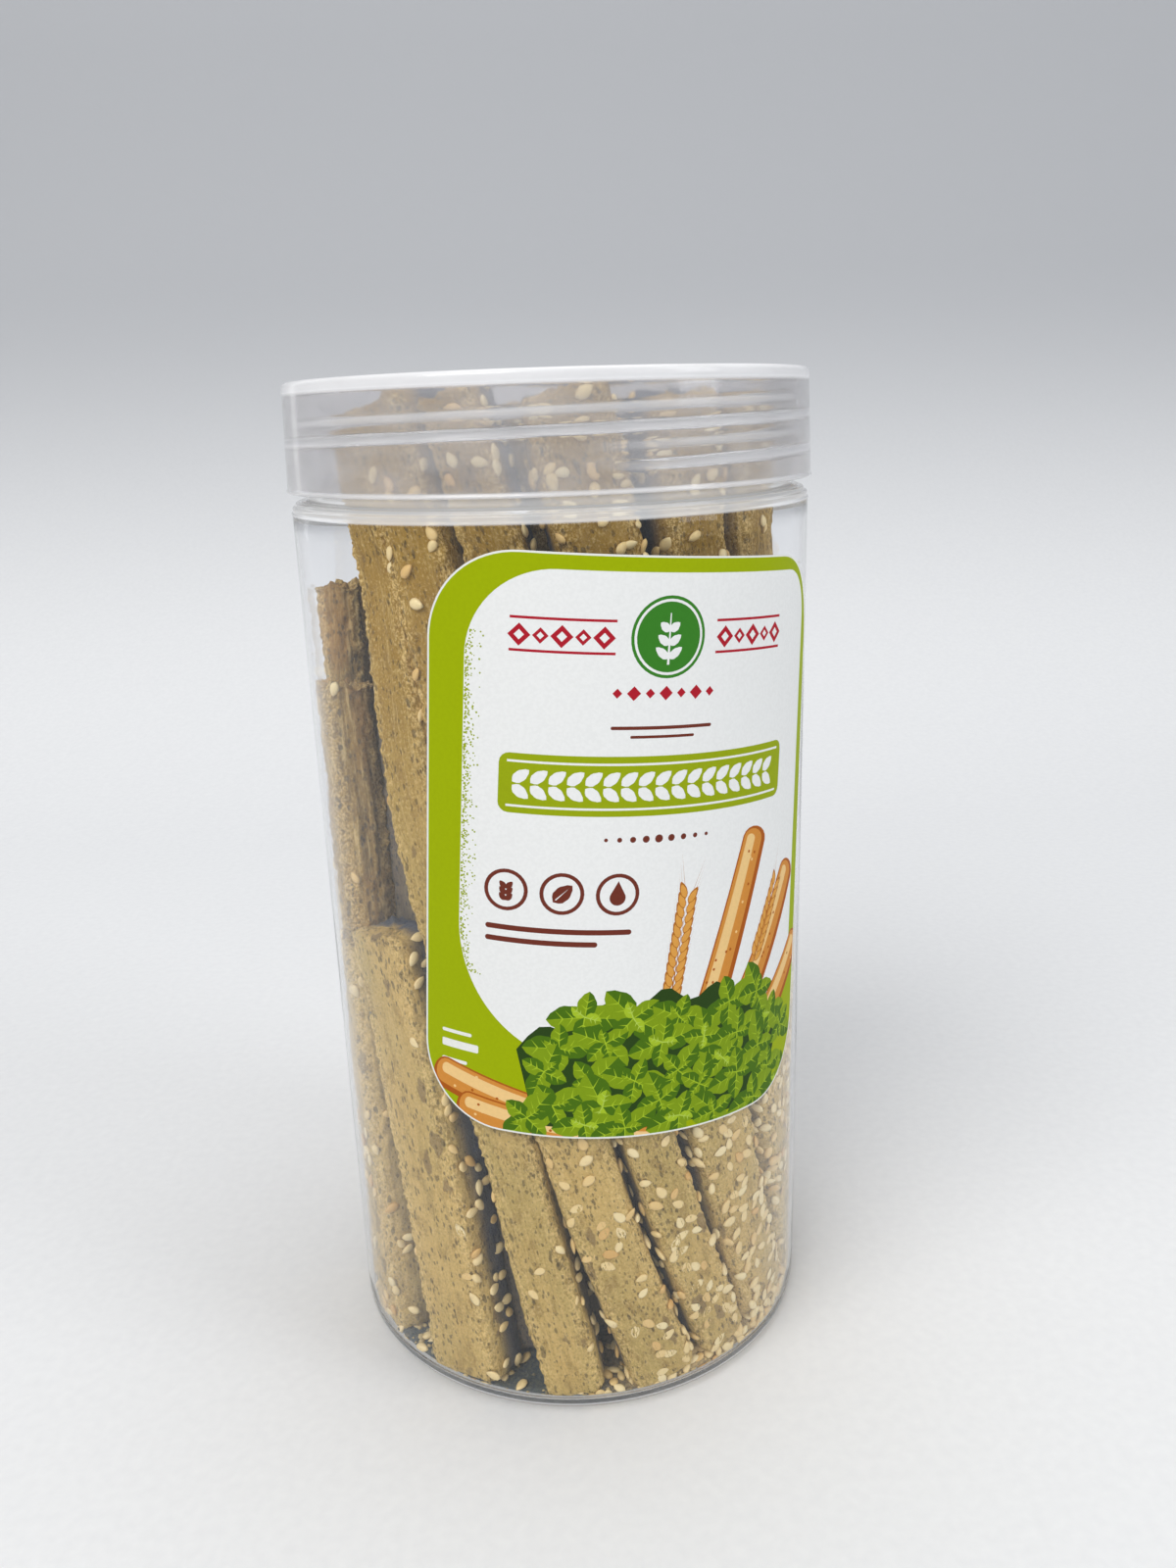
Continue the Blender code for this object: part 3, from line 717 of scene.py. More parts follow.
# %% List the sticks
FRONT_STICKS = [
    Stick(-90, -96, foot=99.6, head=163, width=13.0, depth=10.0, bow=0, rough=1.0, seeds=(0.2, 0.4, 0.8),
          square=2.3, crowded=0.2),
    Stick(-83, -88, head=101, width=13.5, bow=2, rough=0.5, seeds=(2.0, 3.5, 5.0), crowded=0.4),
    Stick(-61, -73, head=93, width=14.0, bow=0, rough=0.5, seeds=(3.0, 6.0, 8.0), crowded=0.3),
    Stick(-67, -74, foot=93, head=146, width=13.5, depth=10.5, bow=0, rough=1.0, seeds=(0.1, 0.5, 0.8),
          square=2.3, crowded=0.25),
    Stick(-31, -51, head=99, width=17.0, bow=-2.5, rough=0.35, seeds=(0.8, 0.3, 12.0), square=4.0),
    Stick(-2.5, -57, head=194.4, width=11.6, bow=-3.0, rough=0.45, seeds=(0.4, 0.6, 10.0), square=4.0,
          crowded=0.8),
    Stick(20.5, -43, foot=3.4, head=195.6, width=13.4, bow=0.6, sway=2.0, rough=0.3, seeds=(9.0, 12.0, 12.0),
          square=3.8),
    Stick(38, -24, foot=5.4, head=196.4, width=10.8, bow=1.0, sway=2.6, rough=0.3, seeds=(9.0, 14.0, 12.0),
          square=3.8),
    Stick(55, 3, foot=7.0, head=196.4, width=15.2, bow=2.0, sway=2.5, rough=0.25, seeds=(17.0, 23.0, 21.0),
          square=3.4),
    Stick(74, 33, foot=7.4, head=195.4, width=14.2, rough=0.3, seeds=(16.0, 20.0, 18.0)),
    Stick(93, 58, foot=6.4, head=194.0, width=14.0, rough=0.35, seeds=(11.0, 15.0, 11.0)),
    Stick(-15, -32, foot=4.4, head=126.0, width=13.0, depth=10.0, bow=0, ring=34.0, top_ring=34.0,
          rough=0.5, seeds=(6.0, 7.0, 7.0), shade=0.8),
    Stick(-52, -58, foot=4.4, head=170.0, width=14.0, depth=10.0, bow=0, ring=34.0, top_ring=32.0,
          rough=0.5, seeds=(1.0, 2.0, 1.0), shade=0.75),
]
BACK_FIRST = 112.0
BACK_LAST = 255.0
BACK_COUNT = 8
INNER_RINGS = ((10, 29.0, 25.5, 22), (4, 11.5, 10.0, 10))
INNER_RISE = 1.4
INNER_SHADE = 0.8


def back_sticks(rng):
    """The sticks behind, evenly round the jar but each a little different."""
    sticks = []
    for k in range(BACK_COUNT):
        foot_angle = BACK_FIRST + (BACK_LAST - BACK_FIRST) * k / (BACK_COUNT - 1)
        head_angle = foot_angle - SWIRL + rng.uniform(-4, 4)
        sticks.append(Stick(foot_angle + rng.uniform(-2, 2), head_angle,
                            head=HEAD + rng.uniform(-4, 3.0), width=STICK_WIDTH + rng.uniform(0, 2),
                            rough=rng.choice((0.25, 0.4, 0.6)), seeds=(3.6, 5.0, 4.4)))
    return sticks


def inner_sticks(rng):
    """Two more rings of sticks inside, whose heads show through the lid."""
    sticks = []
    for count, foot_ring, top_ring, lean in INNER_RINGS:
        for k in range(count):
            angle = 360.0 * k / count + rng.uniform(-6, 6)
            sticks.append(Stick(angle, angle - lean, foot=FOOT + INNER_RISE, ring=foot_ring,
                                top_ring=top_ring, bow=0, head=HEAD + rng.uniform(-5, 3.0),
                                width=STICK_WIDTH - 0.5, rough=0.5, seeds=(3.0, 4.0, 3.0),
                                shade=INNER_SHADE))
    return sticks


# %% [markdown]
# ## The bread sticks: their shape
# A stick's section is a rounded bar, a superellipse, that is carried along its centre line. In
# front the rings are half a millimetre apart, because the crumb's relief is that fine, and
# behind up to one and a half. The points also carry their place in the dough (across, out,
# along, in millimetres), which both the relief and the colour follow, so the pattern runs
# lengthwise and has no seam.

# %% A stick's centre line and section
END_SCALES = (0.3, 0.58, 0.8, 0.9)
END_ROUND = ((0.5, 0.955), (1.2, 0.985), (2.0, 1.0))
END_LENGTH = 2.6
SIDE_STEP = 0.02


def centre_line(stick, t):
    """Points of a stick's centre line, for t from 0 at its foot to 1 at its head."""
    height = stick.foot + (stick.head - stick.foot) * t
    angle = stick.foot_angle + (stick.head_angle - stick.foot_angle) * t
    angle = angle - stick.bow * np.sin(np.pi * t) - stick.sway * np.sin(2 * np.pi * t)
    lean = ease((height - LEAN_IN_START) / (LEAN_IN_END - LEAN_IN_START)) * (stick.head >= BODY_TOP)
    return angle, stick.ring - max(stick.ring - stick.top_ring, 0.0) * lean, height


def stick_rows(stick, spacing):
    """Each ring's distance from the foot, and how large its section is there."""
    length = stick.head - stick.foot
    start = [(0.0, scale) for scale in END_SCALES] + list(END_ROUND)
    middle = [(at, 1.0) for at in np.linspace(END_LENGTH, length - END_LENGTH, int(length / spacing))]
    finish = [(length - at, scale) for at, scale in reversed(start)]
    return np.array(start + middle + finish)


def stick_axes(stick, t):
    """The rings' centres, and their directions across the stick and outwards."""
    centre = polar(*centre_line(stick, t))
    along = polar(*centre_line(stick, t + SIDE_STEP)) - polar(*centre_line(stick, t - SIDE_STEP))
    along /= np.linalg.norm(along, axis=1)[:, None]
    across = np.cross(along, polar(centre_line(stick, t)[0], 1.0, 0.0))
    across /= np.linalg.norm(across, axis=1)[:, None]
    return centre, across, np.cross(across, along)


def stick_section(stick, turn):
    """The section's outline: how far each point is sideways and forwards of its centre."""
    power = 2.0 / stick.square
    sideways = np.sign(np.cos(turn)) * np.abs(np.cos(turn)) ** power * stick.width / 2
    forwards = np.sign(np.sin(turn)) * np.abs(np.sin(turn)) ** power * stick.depth / 2
    return sideways, forwards


# %% Skin one stick
END_REACH = 4.5
DOUGH_STEP = 71.0
SIDE_SHADE_START = 0.62
SIDE_SHADE_REACH = 0.8
INNER_SHADE_END = 178.0
INNER_SHADE_FADE = 20.0
SEEDS_LOST = 0.4
BARE_BACK = 0.35


def seeds_round(stick, turn):
    """How thick the seeds lie round a stick, with fewer on its back."""
    left, face, right = stick.seeds
    side = np.cos(turn) ** 3
    seeded = face * (1 - np.abs(side)) + np.where(side > 0, right, left) * np.abs(side)
    return np.where(np.sin(turn) < -0.4, seeded * BARE_BACK, seeded)


def shades(stick, forwards, heights):
    """How much shade is painted on the stick's sides, and on all of it where it stands behind others."""
    sides = ease((SIDE_SHADE_START - forwards / (stick.depth / 2)) / SIDE_SHADE_REACH)
    above = ease((heights - INNER_SHADE_END + INNER_SHADE_FADE) / INNER_SHADE_FADE)
    return stick.crowded * sides, stick.shade * (1.0 - above)


def make_stick(name, stick, spacing, columns, rng):
    """The plain closed skin of one stick, with what its points need to know."""
    length = stick.head - stick.foot
    rows = stick_rows(stick, spacing)
    centre, across, outward = stick_axes(stick, rows[:, 0] / length)
    turn = np.radians(np.arange(columns) * 360.0 / columns)
    sideways, forwards = stick_section(stick, turn)
    scale = rows[:, 1][:, None]
    flat = np.stack([sideways * scale, forwards * scale], -1)
    rings = centre[:, None] + (across[:, None] * flat[..., :1] + outward[:, None] * flat[..., 1:]) * MM
    ends = np.clip(rows[:, 0] - length + END_REACH, 0, None) - np.clip(END_REACH - rows[:, 0], 0, None)
    shift = np.array([rng.uniform(0, 9), rng.uniform(0, 9), 0.0]) * DOUGH_STEP
    places = np.concatenate([flat, np.broadcast_to(rows[:, 0][:, None, None], (*flat.shape[:2], 1))], -1)
    poles = np.array([[0.0, 0.0, 0.0], [0.0, 0.0, length]])
    # Painted shade: slate on the sides beside the neighbours, and on sticks that stand behind others.
    beside, behind = shades(stick, forwards, centre[:, 2] / MM)
    painted_shade = np.maximum(beside[None, :], behind[:, None])
    sparse = (1.0 - behind) * (1.0 - SEEDS_LOST * ease((rows[:, 0] - 96.0) / 60.0))
    seeded = np.outer((rows[:, 1] > 0.95) * sparse, seeds_round(stick, turn))
    corner = np.abs(np.sin(2 * turn)) ** 3
    marks = {
        "dough_place": np.concatenate([places.reshape(-1, 3), poles]) + shift,
        "end": np.concatenate([np.repeat(ends / END_REACH, columns), [-1.0, 1.0]]),
        "corner": np.concatenate([np.tile(corner, len(rows)), [0.0, 0.0]]),
        "seeded": np.concatenate([seeded.ravel(), [0.0, 0.0]]),
        "rough": np.full(len(rows) * columns + 2, stick.rough),
        "painted_shade": np.concatenate([painted_shade.ravel(), [1.0, 0.0]]),
    }
    return skin(name, rings, centre[0], centre[-1], marks)


# %% [markdown]
# ## Baked dough
# The dough is a warm tan, sandy all over, with small dark herb flecks that the machine has drawn
# out lengthwise, a few bigger grey-brown ones, and paler, drier corners. Flecks come in drifts, so a
# wide pattern decides how many there are. Everything is read from the place in the dough, so each
# stick differs. Rough sticks are browner and show more streaks, and painted shade darkens the heads
# under the lid to the same brown. In the gaps between the sticks, and behind the front ones, painted
# shade turns the colour to slate.

# %% Make the dough
DOUGH = linear(218, 184, 110)
DOUGH_PALE = linear(244, 216, 150)
DOUGH_DARK = linear(146, 112, 50)
DOUGH_DULL = linear(200, 172, 100)
DOUGH_BROWN_AND_SHADE = linear(160, 120, 18)
DEEP_SHADE = linear(38, 68, 100)
TOAST = linear(206, 146, 62)
HERB = linear(76, 62, 32)
HERB_BROWN = linear(120, 94, 62)
CORNER = linear(248, 216, 146)
HEAD_SHADE_START = 84.0
HEAD_SHADE_END = 160.0


def flecks(tree, place, stretch, scale, size, share, ragged=0.3):
    """Spots drawn out along the stick. A share of the cells of a pattern holds one."""
    drawn = vector_calc(tree, "MULTIPLY", place, stretch)
    wobble = add(tree, "ShaderNodeTexNoise", {"Vector": drawn, "Scale": scale * 3.0, "Detail": 2.0})
    reach = (ragged / scale,) * 3
    bent = vector_calc(tree, "ADD", drawn, vector_calc(tree, "MULTIPLY", wobble.outputs[1], reach))
    cell = add(tree, "ShaderNodeTexVoronoi", {"Vector": bent, "Scale": scale})
    pick = add(tree, "ShaderNodeSeparateXYZ", {0: cell.outputs["Color"]}).outputs
    chosen = calc(tree, "LESS_THAN", pick[0], share)
    width = calc(tree, "MULTIPLY", calc(tree, "ADD", pick[1], 0.4), size)
    spot = between(tree, calc(tree, "SUBTRACT", width, cell.outputs["Distance"]), -0.02, 0.09)
    return calc(tree, "MULTIPLY", spot, chosen)


def dough_tone(tree, place, rough, corner):
    """The dough's colour without its herbs: patches, sand, streaks, toasted places, dry corners and painted
    shade at the heads.
    """
    wide = noise(tree, vector_calc(tree, "MULTIPLY", place, (1.0, 1.0, 0.4)), 0.085, 3.0)
    streak = noise(tree, vector_calc(tree, "MULTIPLY", place, (1.0, 1.0, 0.07)), 1.5, 4.0, 0.65)
    sand = noise(tree, vector_calc(tree, "MULTIPLY", place, (1.0, 1.0, 0.7)), 2.4, 4.0, 0.7)
    cloud = noise(tree, vector_calc(tree, "MULTIPLY", place, (1.0, 1.0, 0.5)), 0.4, 3.0, 0.6)
    colour = mixed(tree, between(tree, wide, 0.35, 0.68), DOUGH, DOUGH_DULL)
    along = add(tree, "ShaderNodeSeparateXYZ", {0: place}).outputs[2]
    # Painted shade darkens the heads under the lid to this brown; rough sticks take it as their own browner
    # tone.
    brown_and_shade = calc(tree, "MAXIMUM", between(tree, along, HEAD_SHADE_START, HEAD_SHADE_END),
                   between(tree, rough, 0.5, 1.0))
    colour = mixed(tree, calc(tree, "MULTIPLY", brown_and_shade, 0.85), colour, DOUGH_BROWN_AND_SHADE)
    colour = mixed(tree, between(tree, cloud, 0.5, 0.34, 0.0, 0.45), colour, DOUGH_DARK)
    colour = mixed(tree, between(tree, sand, 0.52, 0.68, 0.0, 0.5), colour, DOUGH_PALE)
    colour = mixed(tree, between(tree, sand, 0.47, 0.32, 0.0, 0.55), colour, DOUGH_DARK)
    streaked = between(tree, rough, 0.2, 1.0, 0.15, 1.0)
    pale_streak = calc(tree, "MULTIPLY", between(tree, streak, 0.5, 0.66), streaked)
    dark_streak = calc(tree, "MULTIPLY", between(tree, streak, 0.48, 0.34), streaked)
    colour = mixed(tree, calc(tree, "MULTIPLY", pale_streak, 0.7), colour, DOUGH_PALE)
    colour = mixed(tree, calc(tree, "MULTIPLY", dark_streak, 0.7), colour, DOUGH_DARK)
    toast = calc(tree, "MULTIPLY", between(tree, wide, 0.48, 0.62), between(tree, rough, 0.5, 1.0))
    colour = mixed(tree, calc(tree, "MULTIPLY", toast, 0.4), colour, TOAST)
    edge = calc(tree, "MULTIPLY", corner, between(tree, sand, 0.44, 0.6))
    return mixed(tree, calc(tree, "MULTIPLY", edge, 0.7), colour, CORNER), sand


def baked_dough():
    """The look of the bread, with herb flecks of three sizes."""
    material, tree, shader = new_material("baked_dough", Roughness=0.85, Specular_IOR_Level=0.3)
    place = add(tree, "ShaderNodeAttribute", attribute_name="dough_place").outputs["Vector"]
    rough = add(tree, "ShaderNodeAttribute", attribute_name="rough").outputs["Fac"]
    corner = add(tree, "ShaderNodeAttribute", attribute_name="corner").outputs["Fac"]
    colour, sand = dough_tone(tree, place, rough, corner)
    drift = noise(tree, vector_calc(tree, "MULTIPLY", place, (1.0, 1.0, 0.4)), 0.16, 2.0)
    crowd = between(tree, drift, 0.36, 0.62, 0.25, 0.75)
    fine = flecks(tree, place, (1.0, 1.0, 0.5), 1.5, 0.36, crowd, 0.5)
    small = flecks(tree, place, (1.0, 1.0, 0.42), 0.9, 0.3, calc(tree, "MULTIPLY", crowd, 0.6), 0.5)
    large = flecks(tree, place, (1.0, 1.0, 0.5), 0.3, 0.34, 0.2, 0.5)
    colour = mixed(tree, calc(tree, "MULTIPLY", large, 0.6), colour, HERB_BROWN)
    colour = mixed(tree, calc(tree, "MULTIPLY", fine, 0.55), colour, HERB)
    colour = mixed(tree, calc(tree, "MULTIPLY", small, 0.62), colour, HERB)
    # Painted shade: slate in the gaps and behind the front sticks.
    painted_shade = add(tree, "ShaderNodeAttribute", attribute_name="painted_shade").outputs["Fac"]
    colour = mixed(tree, calc(tree, "MULTIPLY", painted_shade, 0.88), colour, DEEP_SHADE)
    tree.links.new(colour, shader.inputs["Base Color"])
    pits = calc(tree, "MULTIPLY", calc(tree, "ADD", fine, small), -0.5)
    bump = add(tree, "ShaderNodeBump", {"Height": calc(tree, "ADD", sand, pits), "Distance": 0.0006,
                                        "Strength": 0.65})
    tree.links.new(bump.outputs[0], shader.inputs["Normal"])
    return material


dough = baked_dough()

# %% [markdown]
# ## The relief of the dough
# Bump shading alone would leave the sticks' outline straight, and the exported mesh smooth. So a
# tree moves the points: broad lumps, a lengthwise grain, small open pores, torn corners and ragged
# ends. At the end it holds everything inside the jar's wall, as the real sticks press
# flat against it.

# %% The relief's tree
INNER_WALL = 48.75
INNER_NECK = 45.15
INNER_FLOOR = 2.1
INNER_FLOOR_EDGE = 47.2
INNER_ROUND_TOP = 3.8
UNDER_LID = 196.1
NECK_IN_START = 169.0
NECK_IN_END = 175.5


def keep_inside(tree, shape, moved):
    """Sets the points' places, held inside the jar's wall and its neck."""
    x, y, z = add(tree, "ShaderNodeSeparateXYZ", {0: moved}).outputs
    reach = calc(tree, "SQRT", calc(tree, "ADD", calc(tree, "MULTIPLY", x, x), calc(tree, "MULTIPLY", y, y)))
    limit = between(tree, z, NECK_IN_START * MM, NECK_IN_END * MM, INNER_WALL * MM, INNER_NECK * MM)
    corner = between(tree, z, INNER_FLOOR * MM, INNER_ROUND_TOP * MM, INNER_FLOOR_EDGE * MM, INNER_WALL * MM,
                     "LINEAR")
    hold = calc(tree, "MINIMUM", calc(tree, "DIVIDE", calc(tree, "MINIMUM", limit, corner), reach), 1.0)
    height = calc(tree, "MINIMUM", calc(tree, "MAXIMUM", z, INNER_FLOOR * MM), UNDER_LID * MM)
    parts = {0: calc(tree, "MULTIPLY", x, hold), 1: calc(tree, "MULTIPLY", y, hold), 2: height}
    held = add(tree, "ShaderNodeCombineXYZ", parts).outputs[0]
    return add(tree, "GeometryNodeSetPosition", {"Geometry": shape, "Position": held}).outputs[0]


def relief_tree():
    """Lumps, grain, pores, torn corners and ragged ends."""
    names = ["Lumps", "Grain", "Pores", "Torn corners", "Ragged ends"]
    tree, given = new_tree("bake_relief", [(name, "Float") for name in names] + [("Material", "Material")])
    place = attribute(tree, "dough_place", "FLOAT_VECTOR")
    rough = attribute(tree, "rough")
    wide = noise(tree, vector_calc(tree, "MULTIPLY", place, (1.0, 1.0, 0.45)), 0.07, 2.0)
    lines = noise(tree, vector_calc(tree, "MULTIPLY", place, (1.0, 1.0, 0.07)), 0.5, 3.0, 0.6)
    crumb = noise(tree, vector_calc(tree, "MULTIPLY", place, (1.0, 1.0, 0.6)), 0.75, 3.0, 0.6)
    lumps = calc(tree, "MULTIPLY", calc(tree, "SUBTRACT", wide, 0.5), given["Lumps"])
    amount = calc(tree, "MULTIPLY", given["Grain"], between(tree, rough, 0.0, 1.0, 0.1, 3.2, "LINEAR"))
    grain = calc(tree, "MULTIPLY", calc(tree, "SUBTRACT", lines, 0.52), amount)
    fine = calc(tree, "MULTIPLY", calc(tree, "SUBTRACT", crumb, 0.5), calc(tree, "MULTIPLY", amount, 0.7))
    pore = flecks(tree, place, (1.0, 1.0, 0.5), 0.55, 0.3, 0.45)
    dent = calc(tree, "MULTIPLY", pore, calc(tree, "MULTIPLY", given["Pores"], -1.0))
    notch = noise(tree, vector_calc(tree, "MULTIPLY", place, (0.4, 0.4, 1.0)), 0.6, 3.0, 0.75)
    tear = calc(tree, "MULTIPLY", calc(tree, "SUBTRACT", notch, 0.42), given["Torn corners"])
    tear = calc(tree, "MULTIPLY", tear, attribute(tree, "corner"))
    holes = calc(tree, "ADD", fine, calc(tree, "ADD", dent, tear))
    total = calc(tree, "ADD", calc(tree, "ADD", lumps, grain), holes)
    normal = add(tree, "GeometryNodeInputNormal").outputs[0]
    push = add(tree, "ShaderNodeVectorMath", {0: normal, "Scale": total}, operation="SCALE").outputs[0]
    end = attribute(tree, "end")
    jag = noise(tree, vector_calc(tree, "MULTIPLY", place, (1.0, 1.0, 0.2)), 0.3, 3.0, 0.7)
    cut = calc(tree, "MAXIMUM", end, calc(tree, "MULTIPLY", end, 0.3))
    torn = between(tree, rough, 0.3, 1.0, 1.0, 2.2, "LINEAR")
    depth = calc(tree, "MULTIPLY", jag, given["Ragged ends"])
    ragged = calc(tree, "MULTIPLY", depth, calc(tree, "MULTIPLY", cut, torn))
    drop = add(tree, "ShaderNodeCombineXYZ", {2: calc(tree, "MULTIPLY", ragged, -1.0)}).outputs[0]
    start = add(tree, "GeometryNodeInputPosition").outputs[0]
    moved = vector_calc(tree, "ADD", start, vector_calc(tree, "ADD", push, drop))
    end_tree(tree, keep_inside(tree, given["Geometry"], moved), given["Material"])
    return tree


relief = relief_tree()
RELIEF = {"Lumps": 2.4, "Grain": 0.9, "Pores": 0.4, "Torn corners": 2.6, "Ragged ends": 3.6}

# %% Make all the sticks


def make_sticks():
    """Every stick as its own piece, finer in front than behind."""
    rng = random.Random(11)
    groups = [("front", FRONT_STICKS, 0.55, 88), ("back", back_sticks(rng), 1.0, 48),
              ("inner", inner_sticks(rng), 1.5, 32)]
    shelf = bpy.data.collections.new("bread_sticks")
    bpy.context.scene.collection.children.link(shelf)
    values = {name: depth * MM for name, depth in RELIEF.items()}
    values["Material"] = dough
    for label, sticks, spacing, columns in groups:
        for number, stick in enumerate(sticks, 1):
            piece = make_stick(f"{label}_stick_{number:02d}", stick, spacing, columns, rng)
            run_tree(piece, relief, values)
            shelf.objects.link(piece)
            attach(piece, "root")
            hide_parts("bread_sticks")
    return shelf


stick_shelf = make_sticks()

# %% [markdown]
# ## The dark inside of the pack
# Between the sticks one looks into the dark middle of the pack. A plain core stands there, as in
# the solid model, a little smaller, so that the inner sticks stand out of it. Its slate is painted shade.

# %% Make the core
CORE_FOOT_RADIUS = 34.5
CORE_HEAD_RADIUS = 29.0
CORE_TOP = 174.0
CORE_RISE = 2.0
CORE_SHADE_TONES = (linear(32, 54, 74), linear(54, 76, 94))


def make_core():
    """A core inside the rings of sticks, in an uneven slate that is painted shade."""
    material, tree, shader = new_material("shaded_dough", Roughness=0.95)
    place = add(tree, "ShaderNodeTexCoord").outputs["Object"]
    patches = noise(tree, vector_calc(tree, "MULTIPLY", place, (1.0, 1.0, 0.2)), 140.0, 3.0)
    tree.links.new(mixed(tree, patches, *CORE_SHADE_TONES), shader.inputs["Base Color"])
    low = FOOT + CORE_RISE
    side = [(CORE_FOOT_RADIUS + (CORE_HEAD_RADIUS - CORE_FOOT_RADIUS) * t, low + (CORE_TOP - low) * t)
            for t in np.linspace(0, 1, 24)]
    profile = [(0.0, low)] + side + [(0.0, CORE_TOP)]
    core = turned("shaded_core", profile, 64)
    core.data.materials.append(material)
    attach(core, "root")
    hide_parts("bread_sticks")


make_core()

# %% [markdown]
# ## Sesame seeds
# A sesame seed is a flat drop about three millimetres long. Over two thousand lie there, so one
# small mesh is made with care and a tree spreads copies of it where the sticks' own marks say,
# lying flat on the skin, each turned and sized at random. The tree ends by making the
# copies real, since an export keeps no instances.

# %% Shape one seed
SEED_LENGTH = 3.1
SEED_WIDTH = 1.9
SEED_DEPTH = 1.0


def seed_skin():
    """A flat drop, pointed at one end, lying on its broad side."""
    rows = np.linspace(0, 1, 7)[1:-1]
    turns = np.arange(8) * math.tau / 8
    half = np.sin(np.pi * rows ** 0.8) ** 0.75
    length = (0.5 - rows) * SEED_LENGTH
    across = half[:, None] * np.cos(turns) * SEED_WIDTH / 2
    up = half[:, None] * np.sin(turns) * SEED_DEPTH / 2
    rings = np.stack(np.broadcast_arrays(across, length[:, None], up), -1) * MM
    tips = [np.array((0.0, 0.5 * SEED_LENGTH, 0.0)) * MM, np.array((0.0, -0.5 * SEED_LENGTH, 0.0)) * MM]
    return skin("seed_shape", rings, tips[0], tips[1], {})


def seed_coat():
    """Cream to light brown, each seed a little different, with a soft sheen."""
    material, tree, shader = new_material("sesame_coat", Roughness=0.48)
    shade = add(tree, "ShaderNodeAttribute", attribute_name="shade").outputs["Fac"]
    ramp = add(tree, "ShaderNodeValToRGB", {0: shade})
    tones = [(0.0, (255, 234, 180)), (0.6, (248, 218, 152)), (0.9, (238, 200, 128)), (1.0, (226, 178, 102))]
    while len(ramp.color_ramp.elements) < len(tones):
        ramp.color_ramp.elements.new(0.5)
    for stop, (at, tone) in zip(ramp.color_ramp.elements, tones):
        stop.position = at
        stop.color = (*linear(*tone), 1.0)
    place = add(tree, "ShaderNodeTexCoord").outputs["Object"]
    mottle = noise(tree, place, 900.0, 2.0)
    colour = mixed(tree, between(tree, mottle, 0.5, 0.8, 0.0, 0.3), ramp.outputs[0], linear(206, 160, 96))
    tree.links.new(colour, shader.inputs["Base Color"])
    return material


seed_shape = seed_skin()
sesame_coat = seed_coat()

# %% The scatter's tree
MOST_SEEDS = 44.0


def spread_points(tree, given):
    """Points on a collection's surfaces, as thick as the number that they carry says."""
    ground = add(tree, "GeometryNodeCollectionInfo", {"Collection": given["Ground"]},
                 transform_space="ORIGINAL")
    ground = add(tree, "GeometryNodeRealizeInstances", {0: ground.outputs[0]}).outputs[0]
    factor = calc(tree, "DIVIDE", attribute(tree, "seeded"), MOST_SEEDS)
    spread = add(tree, "GeometryNodeDistributePointsOnFaces", distribute_method="POISSON")
    for key, value in (("Mesh", ground), ("Distance Min", given["Spacing"]), ("Density Factor", factor),
                       ("Seed", given["Seed"])):
        tree.links.new(value, spread.inputs[key])
    spread.inputs["Density Max"].default_value = MOST_SEEDS / (10 * MM) ** 2
    return spread.outputs


def random_turn(tree, rotation, tilt, seed):
    """Turns each copy at random on the surface, and tilts it a little."""
    spin = add(tree, "FunctionNodeRandomValue", {"Seed": seed}, data_type="FLOAT_VECTOR")
    low = calc(tree, "MULTIPLY", tilt, -1.0)
    for end, lean, half_turn in (("Max", tilt, math.pi), ("Min", low, -math.pi)):
        angles = add(tree, "ShaderNodeCombineXYZ", {0: lean, 1: lean, 2: half_turn}).outputs[0]
        tree.links.new(angles, spin.inputs[end])
    return add(tree, "FunctionNodeRotateRotation", {0: rotation, 1: spin.outputs["Value"]},
               rotation_space="LOCAL").outputs[0]


def random_number(tree, seed, ends=()):
    """A random number for each copy, from 0 to 1 or between two ends."""
    made = add(tree, "FunctionNodeRandomValue", {"Seed": seed}, data_type="FLOAT")
    limits = [socket for socket in made.inputs if socket.enabled and socket.name in ("Min", "Max")]
    for end, socket in zip(ends, limits):
        tree.links.new(end, socket)
    return [socket for socket in made.outputs if socket.enabled][0]


def scatter_tree():
    """Spreads copies of a small object over a collection's surfaces, lying flat on them."""
    kinds = [("Ground", "Collection"), ("Copy", "Object"), ("Seed", "Int"), ("Spacing", "Float"),
             ("Lift", "Float"), ("Tilt", "Float"), ("Smallest", "Float"), ("Largest", "Float"),
             ("Material", "Material")]
    tree, given = new_tree("scatter_flat", kinds)
    points = spread_points(tree, given)
    copy = add(tree, "GeometryNodeObjectInfo", {"Object": given["Copy"], "As Instance": True})
    copies = add(tree, "GeometryNodeInstanceOnPoints", {
        "Points": points["Points"], "Instance": copy.outputs["Geometry"],
        "Rotation": random_turn(tree, points["Rotation"], given["Tilt"], 3),
        "Scale": random_number(tree, 5, (given["Smallest"], given["Largest"]))})
    lift = add(tree, "ShaderNodeCombineXYZ", {2: given["Lift"]}).outputs[0]
    lifted = add(tree, "GeometryNodeTranslateInstances",
                 {"Instances": copies.outputs[0], "Translation": lift})
    shade = {0: lifted.outputs[0], "Name": "shade", "Value": random_number(tree, 7)}
    toned = add(tree, "GeometryNodeStoreNamedAttribute", shade, domain="INSTANCE")
    real = add(tree, "GeometryNodeRealizeInstances", {0: toned.outputs[0]}).outputs[0]
    place = add(tree, "GeometryNodeInputPosition").outputs[0]
    end_tree(tree, keep_inside(tree, real, place), given["Material"])
    return tree


scatter = scatter_tree()

# %% Spread the seeds over the sticks
SEED_GAP = 1.8
SEED_LIFT = 0.3


